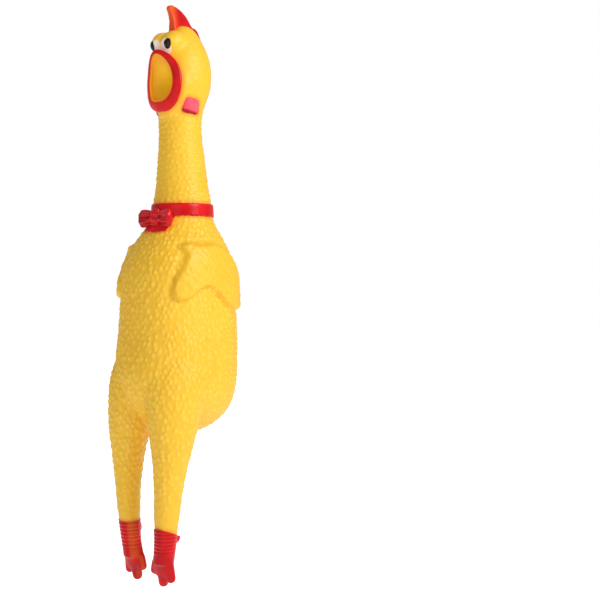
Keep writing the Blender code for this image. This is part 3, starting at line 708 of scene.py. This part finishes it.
def bend_skin(pieces):
    for name, body in (("skin_body", "torso"), ("skin_head", "head")):
        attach(pieces[name], body)
    for side, sign in (("left", 1), ("right", -1)):
        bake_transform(pieces[f"skin_{side}_side"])
        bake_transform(pieces[f"skin_{side}_hip"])
        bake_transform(pieces[f"skin_{side}_shank"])
    low, middle, high = NECK_LEVELS
    spans = (
        ("skin_neck_base", "torso", "neck_low", 88.0, low - 1),
        ("skin_neck_middle", "neck_low", "neck_high", low + 4, middle - 3),
        ("skin_neck_top", "neck_high", "head", middle + 0.4, high - 0.4),
    )
    for name, a, b, start, end in spans:
        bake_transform(pieces[name])


# ---- painted reliefs
def lip_half(turn):
    """Half the lips' width: thin above, full below."""
    c = math.cos(turn)
    return 3.4 - 1.5 * max(c, 0.0) ** 2 + 0.9 * max(-c, 0.0) ** 2


def lip_solid():
    """A flat-backed band turned back toward the cheeks; thin above, full below. The second
    result says how much of the mouth's orange each point shows: all of it on the inner wall."""
    a = around(36)
    across_band, up_band = bent(np.cos(a), 0.8), np.sin(a)
    thick = np.where(up_band > 0, LIP_FRONT, LIP_BACK) * up_band
    turns = around(150)
    rings = []
    for turn in turns:
        here = mouth_path(turn, outward=0.3, back=-0.9)
        ahead = mouth_path(turn + 0.01) - mouth_path(turn - 0.01)
        ahead /= np.linalg.norm(ahead)
        across = np.cross(ahead, (0, 1, 0))
        across /= np.linalg.norm(across)
        front = np.cross(across, ahead)
        front *= -1 if front[1] > 0 else 1
        if across @ (here - (0, here[1], MOUTH_CENTRE_Z)) < 0:
            across = -across
        lean = LIP_LEAN * (1 - 0.5 * max(math.cos(turn), 0.0))
        wide = across * math.cos(lean) - front * math.sin(lean)
        proud = front * math.cos(lean) + across * math.sin(lean)
        wobble = 1 + 0.03 * np.sin(3 * turn + 2 * a) + 0.015 * np.sin(11 * turn + a)
        reach = across_band * lip_half(turn)
        rings.append(here + wide * reach[:, None] + proud * (thick * wobble)[:, None])
    return torus_solid(rings), np.tile(smoothstep(-0.62, -0.93, np.cos(a)), len(turns))


def lining_solid():
    """The shallow dish behind the lips."""
    turns = around(MOUTH_STEPS)
    ring = np.array([mouth_path(t, outward=1.1 - lip_half(t), back=-1.6) for t in turns])
    middle = (0.0, 0.0, MOUTH_CENTRE_Z)
    thick = (0, LINING_THICK, 0)
    front = []
    for part in np.linspace(0, 1, 14):
        depth = LINING_DEPTH * math.sin(part * math.pi / 2) ** 1.5
        flat = (ring - middle) * (1 - 0.9 * part, 1, 1 - 0.9 * part) + middle
        flat[:, 1] = ring[:, 1] * (1 - part) + ring[:, 1].max() * part + depth
        front.append(flat)
    back = [some + thick for some in front[::-1]]
    tip = front[-1].mean(axis=0)
    return ring_solid(back + front, start=tip + thick, end=tip)


def comb_object():
    y, z = closed_curve(COMB_OUTLINE, 6).T
    thin = 1 - COMB_TAPER * np.clip((z - COMB_ROOT_Z) / (z.max() - COMB_ROOT_Z), 0, 1)
    rings = [ring_of(COMB_HALF_THICK * part * thin, y, z) for part in np.linspace(-1, 1, 7)]
    return fused("comb_fin", [ring_solid(rings)], 0.7, 9)


def skin_patch(tree, middle, across, up, outline, rise):
    """A raised, rounded pad that follows the skin. outline gives its reach at each turn and
    rise its height from the middle (0) to the edge (1)."""
    middle, across, up = (np.array(v, float) for v in (middle, across, up))
    inward = -np.cross(across, up)
    inward /= np.linalg.norm(inward)
    top, bottom = [], []
    for level in range(PATCH_RINGS, -1, -1):
        part = (level / PATCH_RINGS) ** 0.8
        upper, lower = [], []
        for turn in around(PATCH_SIDES):
            offset = (across * math.cos(turn) + up * math.sin(turn)) * outline(turn) * part
            start = Vector(middle + offset - inward * 14) * MM
            hit, normal, _, _ = tree.ray_cast(start, Vector(inward))
            if hit is None:
                hit, normal = middle + offset, -inward
            else:
                hit, normal = np.array(hit) / MM, np.array(normal)
            if normal @ inward > 0:
                normal = -normal
            upper.append(hit + normal * rise(part))
            lower.append(hit - normal * 0.5)
        top.append(np.array(upper))
        bottom.append(np.array(lower))
    rings = bottom[1:][::-1] + top
    return ring_solid(rings[1:-1], start=rings[0].mean(axis=0), end=rings[-1].mean(axis=0))


def rounded_box_reach(half_width, half_height, power, slant=0.0):
    def reach(turn):
        c, s = math.cos(turn), math.sin(turn)
        wide = half_width * (1 + slant * s)
        total = abs(c / wide) ** power + abs(s / half_height) ** power
        return total ** (-1 / power)

    return reach


def raised(height, drop, power):
    """A flat top that falls off to its edge."""
    return lambda part: height * (1 - part**power) - drop * part**power


def wattle_solid(tree):
    distance, height = WATTLE_PLACE
    out = np.array((math.cos(WATTLE_TURN), math.sin(WATTLE_TURN), 0))
    along = np.array((-out[1], out[0], 0))
    c, s = math.cos(WATTLE_LEAN), math.sin(WATTLE_LEAN)
    level = along * c + (0, 0, s)
    up = np.array((0, 0, c)) - along * s
    middle = out * distance + (0, 0, height)
    reach = rounded_box_reach(*WATTLE_HALF, 4.6, -0.1)
    return skin_patch(tree, middle, level, up, reach, raised(1.9, 0.3, 8))


def eye_white_solid(tree):
    """The creamy patch between the pupil, the bridge of the face and the upper lip."""
    middle = (WHITE_CENTRE[0], FACE_Y, WHITE_CENTRE[1])
    reach = rounded_box_reach(*WHITE_HALF, 2.4)
    return skin_patch(tree, middle, (1, 0, 0), (0, 0, 1), reach, raised(0.2, 0.12, 6))


def pupil_solid(tree):
    across = (math.cos(PUPIL_LEAN), 0, -math.sin(PUPIL_LEAN))
    up = (math.sin(PUPIL_LEAN), 0, math.cos(PUPIL_LEAN))

    def rise(part):
        return 0.85 * math.sqrt(max(0.0, 1 - part**2.4)) - 0.1

    middle = (PUPIL_CENTRE[0], FACE_Y, PUPIL_CENTRE[1])
    return skin_patch(tree, middle, across, up, rounded_box_reach(*PUPIL_HALF, 2.0), rise)


def collar_solid():
    """A ribbon moulded round the neck. Its lower edge is eaten into by the pimples below,
    and it drops at the front to carry the bow."""
    rows = body_rows()
    low, high = COLLAR_Z
    profile = around(20)
    share = 0.5 - 0.5 * bent(np.cos(profile), 0.6)
    bulge = 0.75 + 0.8 * bent(np.sin(profile), 0.5)
    rings = []
    for turn in around(260):
        from_front = abs((math.degrees(turn) + 270) % 360 - 180)
        drop = COLLAR_FRONT_DROP * float(smoothstep(34, 21, from_front))
        bottom = low - drop + 0.5 * abs(math.cos(17 * turn)) + 0.25 * math.cos(11 * turn + 1)
        z = bottom + (high - bottom) * share
        half_x, half_y, centre = (np.interp(z, rows[:, 0], rows[:, k]) for k in (1, 2, 3))
        x = (half_x + bulge) * math.cos(turn)
        rings.append(ring_of(x, centre + (half_y + bulge) * math.sin(turn), z))
    return torus_solid(rings)


def bow_loop_solid():
    """One gathered loop: narrow at the knot, fanned into folds toward its end."""
    turn = around(72)
    height, depth = np.sin(turn), np.cos(turn)
    rings = []
    for along in np.linspace(0, 1, 45):
        x = 0.5 + (BOW_LENGTH - 0.9) * along
        half_z = 3.2 + 3.0 * math.sin(min(along * 2.2, math.pi / 2))
        half_y = 2.1 + 1.3 * math.sin(along * 2.4)
        lip = 1.0 if along < 0.84 else math.sqrt(max(0.06, 1 - ((along - 0.84) / 0.17) ** 2))
        fold = 0.75 * np.sin(7.5 * height + 0.9 * along + 0.4)
        fold += 0.35 * np.sin(13 * height - 2 * along)
        fold *= 0.35 + 0.75 * math.sin(math.pi * min(along * 1.1 + 0.1, 1))
        y = lip * (half_y * depth + fold * np.where(depth < 0, 1.0, 0.2))
        z = half_z * lip * height - BOW_SAG * along
        rings.append(BOW_CENTRE + ring_of(x, y - BOW_FORWARD * along**2, z))
    return ring_solid(rings, end=BOW_CENTRE + (BOW_LENGTH - 0.2, -BOW_FORWARD, -BOW_SAG))


def knot_solid():
    turn = around(56)
    rings = []
    for fall in np.linspace(0, math.pi, 41)[1:-1]:
        pinch = 1 + 0.13 * np.cos(3 * turn + 1) * math.sin(fall)
        pinch += 0.1 * np.cos(9 * fall + 1.4 * turn)
        reach = pinch * math.sin(fall) ** 0.7
        unit = ring_of(reach * np.cos(turn), reach * np.sin(turn), -math.cos(fall))
        rings.append(BOW_CENTRE + unit * KNOT_RADII)
    pole = np.array((0, 0, KNOT_RADII[2]))
    return ring_solid(rings, start=BOW_CENTRE - pole, end=BOW_CENTRE + pole)


def capsule_solid(root, tip, root_radius, tip_radius):
    root, tip = np.array(root, float), np.array(tip, float)
    along = (tip - root) / np.linalg.norm(tip - root)
    side = np.cross(along, (0, 1, 0))
    side /= np.linalg.norm(side)
    turn = around(28)[:, None]
    unit = np.cos(turn) * side + np.sin(turn) * np.cross(side, along)
    rings = []
    for part in np.linspace(-1, 1, 41):
        reach = np.clip((part + 1) / 2, 0, 1)
        size = root_radius + (tip_radius - root_radius) * reach
        size *= math.sqrt(max(0.02, 1 - abs(part) ** 8))
        rings.append(root + (tip - root) * reach + size * unit)
    return ring_solid(rings)


def leg_at(height):
    rows = np.array(LEG_STATIONS)[::-1]
    return [float(np.interp(height, rows[:, 0], rows[:, k])) for k in (1, 2, 3)]


def foot_object(side):
    """The red ankle with its scales and spur, and a broad foot with three short toes."""
    rows = []
    for z in np.arange(-157.0, -126.0, 1.0):
        cx, cy, radius = leg_at(z)
        rows.append((z, cx, cy, radius + ANKLE_RISE))
    turn = around(48)
    palm = [
        ring_of(cx + half_x * np.cos(turn), cy + half_y * np.sin(turn), z)
        for z, cx, cy, half_x, half_y in PALM_STATIONS
    ]
    solids = [ring_solid(leg_rings(rows)), ring_solid(palm)]
    solids += [capsule_solid(*toe) for toe in TOES]
    cx, cy, radius = leg_at(SPUR_Z)
    spur = np.array((cx, cy + radius, SPUR_Z)) + SPUR_OFFSET
    solids.append(ball_solid(spur, SPUR_RADII))
    if side == "right":
        solids = [mirrored_solid(s) for s in solids]
    foot = fused(f"{side}_foot_all", solids, FOOT_VOXEL, 9)
    points, normals = points_of(foot), normals_of(foot)
    z = points[:, 2]
    ridge = np.abs(np.sin(np.pi * (z + 132.9) / SCALE_SPACING)) ** 0.7
    on_ankle = smoothstep(-152.0, -148.5, z) * smoothstep(0.5, -0.1, normals[:, 1])
    points = points + normals * (0.5 * (ridge - 0.3) * on_ankle)[:, None]
    set_points(foot, points)
    # painted shade: the red paint is darkened in the grooves between the ankle's scales and on
    # the downward faces low on the foot
    underside_shade = smoothstep(-0.1, -0.9, normals[:, 2]) * smoothstep(-158, -164, z)
    groove = 0.55 * smoothstep(0.6, 0.05, ridge) * on_ankle
    store(foot, "groove", np.maximum(groove, 0.7 * underside_shade))
    # the paint is thin where the foot faces forward and the other foot
    toward_other = -1 if side == "left" else 1
    faces = normals[:, 0] * toward_other * 0.87 - normals[:, 1] * 0.5
    thin = smoothstep(0.72, 1.04, faces) ** 1.5 * smoothstep(-176, -160, z)
    store(foot, "thin", 0.5 * thin)
    store(foot, "rest", points * MM)
    return foot


def split_foot(foot, side):
    """Trims the red skin at its paint line and parts it where the toes bend."""
    middle, slope = PAINT_LINES[side]
    _, cy, _ = leg_at(middle)
    store(foot, "shade", normals_of(foot))
    pieces = []
    for label, up in (("ankle", -1), ("foot", 1)):
        mesh = bpy.data.meshes.new(f"paint_{side}_{label}")
        with edited(foot.data, mesh) as sheet:
            cut(sheet, (0, 0, FOOT_LEVEL), (0, 0, up), clear=True)
            if label == "ankle":
                cut(sheet, (0, cy, middle), (0, -slope, 1), clear=True)
            bmesh.ops.triangulate(sheet, faces=sheet.faces)
        pieces.append(linked(mesh.name, mesh))
        mesh.shade_smooth()
        shade = read(mesh.attributes["shade"].data, "vector")
        mesh.normals_split_custom_set_from_vertices(shade.tolist())
    bpy.data.objects.remove(foot, do_unlink=True)
    return pieces


# ---- materials
def material(name):
    mat = bpy.data.materials.new(name)
    mat.use_nodes = True
    return mat, mat.node_tree, mat.node_tree.nodes["Principled BSDF"]


def set_inputs(node, **values):
    """Sets a node's inputs; an underline in a name stands for a space."""
    for name, value in values.items():
        node.inputs[name.replace("_", " ")].default_value = value


def mix_colour(tree, factor, a, b):
    mix = tree.nodes.new("ShaderNodeMix")
    mix.data_type = "RGBA"
    for socket, value in ((mix.inputs[0], factor), (mix.inputs[6], a), (mix.inputs[7], b)):
        if isinstance(value, bpy.types.NodeSocket):
            tree.links.new(value, socket)
        elif isinstance(value, float):
            socket.default_value = value
        else:
            socket.default_value = (*value, 1.0)
    return mix.outputs[2]


def span(tree, value, low, high, out_low=0.0, out_high=1.0):
    fit = tree.nodes.new("ShaderNodeMapRange")
    set_inputs(fit, From_Min=low, From_Max=high, To_Min=out_low, To_Max=out_high)
    tree.links.new(value, fit.inputs["Value"])
    return fit.outputs["Result"]


def noise(tree, scale, detail, place):
    made = tree.nodes.new("ShaderNodeTexNoise")
    set_inputs(made, Scale=scale, Detail=detail)
    tree.links.new(place, made.inputs["Vector"])
    return made.outputs["Fac"]


def attribute(tree, name, output="Fac"):
    made = tree.nodes.new("ShaderNodeAttribute")
    made.attribute_name = name
    return made.outputs[output]


def finish_vinyl(tree, shader, place, colour, cloudy, rough, grain_scale, grain_depth):
    """Joins the colour, a cloudy roughness and a fine grain to the shader."""
    bump = tree.nodes.new("ShaderNodeBump")
    set_inputs(bump, Strength=grain_depth, Distance=BUMP_DEPTH)
    for value, node, socket in (
        (colour, shader, "Base Color"),
        (span(tree, cloudy, 0.3, 0.7, *rough), shader, "Roughness"),
        (noise(tree, grain_scale, 2.0, place), bump, "Height"),
        (bump.outputs["Normal"], shader, "Normal"),
    ):
        tree.links.new(value, node.inputs[socket])


def yellow_vinyl():
    mat, tree, shader = material("yellow_vinyl_skin")
    rest = attribute(tree, "rest", "Vector")
    pimple = attribute(tree, "pimple")
    spray = attribute(tree, "spray")
    cloudy = noise(tree, 45.0, 4.0, rest)
    base = mix_colour(tree, cloudy, (0.85, 0.465, 0.018), (0.92, 0.56, 0.028))
    # painted highlight: the pimple tops are lightened toward a paler yellow, standing in for
    # light caught on the raised bumps
    tip = span(tree, pimple, 0.25, 0.9, 0.0, 0.55)
    colour = mix_colour(tree, tip, base, (0.97, 0.66, 0.08))
    speckle = noise(tree, 260.0, 3.0, rest)
    ragged = tree.nodes.new("ShaderNodeMath")
    ragged.operation = "MULTIPLY"
    tree.links.new(spray, ragged.inputs[0])
    tree.links.new(span(tree, speckle, 0.3, 0.6, 0.7, 1.0), ragged.inputs[1])
    colour = mix_colour(tree, ragged.outputs[0], colour, (0.93, 0.16, 0.012))
    set_inputs(shader, Specular_IOR_Level=0.4, Subsurface_Weight=0.15)
    set_inputs(shader, Subsurface_Radius=(1.0, 0.6, 0.2), Subsurface_Scale=0.002)
    finish_vinyl(tree, shader, rest, colour, cloudy, (0.4, 0.52), 900.0, 0.12)
    return mat


def glossy_paint(name, deep, bright, roughness, specular=0.25, marks=(), stored=True):
    """Sprayed paint with a cloudy depth. marks are (attribute, colour) pairs laid over it."""
    mat, tree, shader = material(name)
    place = tree.nodes.new("ShaderNodeTexCoord").outputs["Object"]
    if stored:
        place = attribute(tree, "rest", "Vector")
    cloudy = noise(tree, 60.0, 4.0, place)
    colour = mix_colour(tree, span(tree, cloudy, 0.35, 0.65), deep, bright)
    for label, shade in marks:
        colour = mix_colour(tree, attribute(tree, label), colour, shade)
    set_inputs(shader, Specular_IOR_Level=specular, Coat_Weight=0.06, Coat_Roughness=0.12)
    rough = (roughness - 0.05, roughness + 0.07)
    finish_vinyl(tree, shader, place, colour, cloudy, rough, 700.0, 0.1)
    return mat


DEEP_RED, RED = (0.50, 0.001, 0.004), (0.76, 0.008, 0.01)
MOUTH_RIM = (0.9, 0.36, 0.006)
# name, deep and bright colour, roughness, specular level, marks, whether it has stored places
PAINTS = {
    "red": ("red_paint_gloss", DEEP_RED, RED, 0.27, 0.18),
    "bow": ("red_paint_bow", (0.42, 0.001, 0.005), (0.68, 0.004, 0.01), 0.2, 0.25),
    "comb": (
        "red_paint_comb", DEEP_RED, RED, 0.3, 0.25,
        (("glow", (0.92, 0.13, 0.01)), ("shade_rear", (0.34, 0.0, 0.004))),
    ),
    "lips": ("red_paint_lips", DEEP_RED, RED, 0.27, 0.18, (("inner", MOUTH_RIM),)),
    # the feet's darkest mark is painted shade in the scale grooves and under the toes
    "feet": (
        "red_paint_feet", DEEP_RED, RED, 0.3, 0.16,
        (("thin", (0.88, 0.2, 0.02)), ("groove", (0.22, 0.0, 0.004))),
    ),
    "pink": (
        "pink_paint_satin", (0.90, 0.07, 0.12), (0.95, 0.12, 0.17), 0.42, 0.25,
        (("step", (0.42, 0.002, 0.008)),),
    ),
    # the mouth dish is the yellow vinyl coloured a deeper, more saturated orange as painted
    # bounce light in the shaded hollow; it is redder toward the lips
    "orange": (
        "mouth_vinyl_painted_bounce", (0.88, 0.45, 0.003), (0.95, 0.54, 0.006), 0.5, 0.25,
        (("rim", MOUTH_RIM),),
    ),
    "cream": (
        "cream_paint_satin", (0.95, 0.80, 0.66), (0.97, 0.88, 0.78), 0.4, 0.25,
        (("faded", (0.93, 0.52, 0.06)), ("blush", (0.92, 0.3, 0.22))),
    ),
    "black": ("black_eye_gloss", (0.003, 0.003, 0.003), (0.012, 0.01, 0.008), 0.12),
    "plastic": ("squeaker_plastic", (0.78, 0.77, 0.7), (0.86, 0.85, 0.8), 0.35, 0.5, (), False),
    "film": ("reed_film", (0.6, 0.62, 0.66), (0.72, 0.74, 0.78), 0.3, 0.5, (), False),
}


def make_materials():
    mats = {"yellow": yellow_vinyl()}
    mats.update((key, glossy_paint(*paint)) for key, paint in PAINTS.items())
    return mats


def dress(obj, mat):
    obj.data.materials.clear()
    obj.data.materials.append(mat)
    return obj


def tidy_faces(obj):
    with edited(obj.data) as sheet:
        bmesh.ops.recalc_face_normals(sheet, faces=sheet.faces)
    obj.data.shade_smooth()


def solid_object(name, solid):
    obj = new_object(name, *solid)
    tidy_faces(obj)
    return obj


# ---- the toy
def dress_skin(pieces, mats):
    for piece in pieces.values():
        dress(piece, mats["yellow"])
    stands_for = {
        "skin_body": ("torso_skin",),
        "skin_neck_base": ("neck_flex_low", "neck_low_skin"),
        "skin_neck_middle": ("neck_flex_mid", "neck_high_skin"),
        "skin_neck_top": ("neck_flex_top",),
        "skin_head": ("head_skin",),
    }
    for side in ("left", "right"):
        stands_for[f"skin_{side}_side"] = (f"{side}_flank", f"{side}_wing")
        stands_for[f"skin_{side}_hip"] = (f"{side}_hip_flex", f"{side}_thigh_skin")
        stands_for[f"skin_{side}_shank"] = (f"{side}_shank_flex", f"{side}_shank_skin")
    for name, nodes in stands_for.items():
        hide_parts(*nodes)


def mark_step(piece):
    """The wattle's raised edge is darker below and behind."""
    points = points_of(piece)
    low, high = points.min(axis=0), points.max(axis=0)
    place = 2 * (points - low) / (high - low) - 1
    below = smoothstep(0.5, 0.78, -place[:, 2] - 0.25 * place[:, 1])
    behind = smoothstep(0.66, 0.9, place[:, 1] - 0.1 * place[:, 2])
    store(piece, "step", np.maximum(below, behind))


def mark_lining(piece):
    """The dish is redder toward the lips."""
    store(piece, "rim", smoothstep(0.45, 0.8, from_mouth(points_of(piece))))


def mark_comb(piece):
    """The comb is oranger along its front and darker behind and at its root."""
    _, y, z = points_of(piece).T
    part = (y - y.min()) / (y.max() - y.min())
    store(piece, "glow", 0.75 * smoothstep(0.3, 0.02, part))
    dark = 0.6 * smoothstep(0.6, 1.0, part) + 0.4 * smoothstep(209, 204, z)
    store(piece, "shade_rear", dark)


def mark_white(piece):
    """The creamy paint fades out at its edge and blushes toward the lips."""
    x, _, z = points_of(piece).T
    across = (np.abs(x) - WHITE_CENTRE[0]) / WHITE_HALF[0]
    away = np.hypot(across, (z - WHITE_CENTRE[1]) / WHITE_HALF[1])
    store(piece, "faded", smoothstep(0.72, 1.0, away))
    store(piece, "blush", 0.6 * smoothstep(190.5, 187.0, z))


def build_painted(tree, mats):
    """Everything the painter touched, riding on the piece that carries it."""
    solid, inner = lip_solid()
    lips = new_object("paint_lips", *solid)
    store(lips, "inner", inner)
    tidy_faces(lips)
    lining = solid_object("mouth_hollow", lining_solid())
    mark_lining(lining)
    comb = comb_object()
    comb.data.shade_smooth()
    mark_comb(comb)
    table = [
        (lips, "lips", "red_paint", "head", "mouth_lips"),
        (lining, "orange", "mouth_orange", "head", "mouth_lining"),
        (comb, "comb", "red_paint", "head", "comb"),
    ]
    reliefs = (
        ("wattle", wattle_solid(tree), "pink", "pink_paint", "wattle", mark_step),
        ("eye_white", eye_white_solid(tree), "cream", "cream_paint", "eye", mark_white),
        ("pupil", pupil_solid(tree), "black", "black_paint", "pupil", None),
    )
    for side in ("left", "right"):
        for label, solid, mat, slot, cad, mark in reliefs:
            if side == "right":
                solid = mirrored_solid(solid)
            piece = solid_object(f"paint_{side}_{label}", solid)
            if mark:
                mark(piece)
            table.append((piece, mat, slot, "head", f"{side}_{cad}"))
    loop = bow_loop_solid()
    for name, solid, mat, cad in (
        ("paint_collar", collar_solid(), "red", "collar_band"),
        ("paint_bow_knot", knot_solid(), "bow", "bow_knot"),
        ("paint_bow_left", loop, "bow", "bow_left_loop"),
        ("paint_bow_right", mirrored_solid(loop), "bow", "bow_right_loop"),
    ):
        table.append((solid_object(name, solid), mat, "red_paint", "torso", cad))
    for obj, mat, slot, body, cad in table:
        store(obj, "rest", points_of(obj) * MM)
        dress(obj, mats[mat])
        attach(obj, body)
        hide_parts(cad)
    return [obj for obj, _, slot, _, _ in table if slot in ("red_paint", "pink_paint")]


def build_feet(mats):
    made = []
    for side in ("left", "right"):
        ankle, foot = split_foot(foot_object(side), side)
        for piece in (ankle, foot):
            dress(piece, mats["feet"])
        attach(ankle, f"{side}_shank")
        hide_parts(f"{side}_ankle_skin")
        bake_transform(foot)
        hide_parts(f"{side}_toes_flex", f"{side}_toes_skin")
        made += [ankle, foot]
    return made


def dress_squeaker(mats):
    for name in ("squeaker_cup", "squeaker_cap", "squeaker_shallot", "squeaker_wedge"):
        dress(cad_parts[name], mats["plastic"])
    dress(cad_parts["squeaker_reed"], mats["film"])


# ---- the studio
def two_levels(tree, lighting, seen):
    """One level for the light it gives, another for what the camera sees."""
    path = tree.nodes.new("ShaderNodeLightPath")
    return span(tree, path.outputs["Is Camera Ray"], 0.0, 1.0, lighting, seen)


def backdrop_material():
    mat, tree, shader = material("studio_white")
    place = tree.nodes.new("ShaderNodeTexCoord").outputs["Object"]
    faint = noise(tree, 3.0, 2.0, place)
    colour = mix_colour(tree, faint, (0.93, 0.93, 0.93), (0.95, 0.95, 0.95))
    tree.links.new(colour, shader.inputs["Base Color"])
    set_inputs(shader, Roughness=0.9, Emission_Color=(1.0, 1.0, 1.0, 1.0))
    tree.links.new(two_levels(tree, 0.62, 0.9), shader.inputs["Emission Strength"])
    return mat


FLOOR_X = (-6000, 6000, 6000, -6000)
FLOOR_Y = (-6000, -6000, 6000, 6000)
FLOOR_Z = -700


def build_stage():
    """A pale floor well below the hanging toy, and a plain white world around it."""
    corners = [(a, b, FLOOR_Z) for a, b in zip(FLOOR_X, FLOOR_Y)]
    floor = new_object("studio_floor", corners, [range(4)])
    floor.data.materials.append(backdrop_material())
    world = bpy.data.worlds.new("studio")
    bpy.context.scene.world = world
    world.use_nodes = True
    tree = world.node_tree
    background = tree.nodes["Background"]
    set_inputs(background, Color=(1.0, 1.0, 1.0, 1.0))
    tree.links.new(two_levels(tree, 0.4, 1.0), background.inputs["Strength"])


def aimed(name, data, place, target):
    obj = linked(name, data)
    obj.location = place
    obj.rotation_euler = (target - place).to_track_quat("-Z", "Y").to_euler()
    return obj


def area_light(name, place, size, power):
    light = bpy.data.lights.new(name, "AREA")
    light.shape = "DISK"
    light.size = size
    light.energy = power
    aimed(name, light, place, LIT_POINT)


VIEW_TURN = 45.0  # degrees from the front toward the chicken's left side
VIEW_DISTANCE = 0.72
VIEW_HEIGHT = 0.041
VIEW_PICTURE = 0.4255  # width of what the picture shows, at the toy
VIEW_ASIDE = 0.0832  # the toy stands this far left of the picture's middle
VIEW_MIDDLE_Z = 0.0193
VIEW_SENSOR = 36.0
LIT_POINT = Vector((0, 0, 0.02))


def build_camera():
    turn = math.radians(VIEW_TURN)
    back = Vector((math.sin(turn), -math.cos(turn), 0))
    right = Vector((math.cos(turn), math.sin(turn), 0))
    data = bpy.data.cameras.new("camera")
    data.sensor_width = VIEW_SENSOR
    data.lens = VIEW_SENSOR * VIEW_DISTANCE / VIEW_PICTURE
    place = back * VIEW_DISTANCE + Vector((0, 0, VIEW_HEIGHT))
    target = right * VIEW_ASIDE + Vector((0, 0, VIEW_MIDDLE_Z))
    bpy.context.scene.camera = aimed("camera", data, place, target)
    return right, back


def build_lights(right, back):
    area_light("key", right * 0.7 + back * 0.6 + Vector((0, 0, 0.55)), 0.6, 7.7)
    area_light("fill", back * 1.1 - right * 0.5 + Vector((0, 0, 0.25)), 0.9, 1.5)


def spray_skin(pieces, painted):
    """Overspray: how near each point of the yellow skin is to a red or pink piece."""
    lookup = nearest_of(np.concatenate([points_of(obj)[::3] for obj in painted]))
    for piece in pieces.values():
        points = points_of(piece)
        away = np.array([lookup.find(Vector(point))[2] for point in points])
        store(piece, "spray", 0.5 * smoothstep(SPRAY_REACH, 0.4, away) ** 1.5)


def main():
    mats = make_materials()
    skin = build_skin()
    tree = BVHTree.FromObject(skin, bpy.context.evaluated_depsgraph_get())
    pieces = part_skin(skin)
    painted = build_painted(tree, mats)
    painted += build_feet(mats)
    spray_skin(pieces, painted)
    dress_skin(pieces, mats)
    bend_skin(pieces)
    dress_squeaker(mats)
    build_stage()
    right, back = build_camera()
    build_lights(right, back)
    bpy.context.scene.view_settings.view_transform = "Standard"


main()
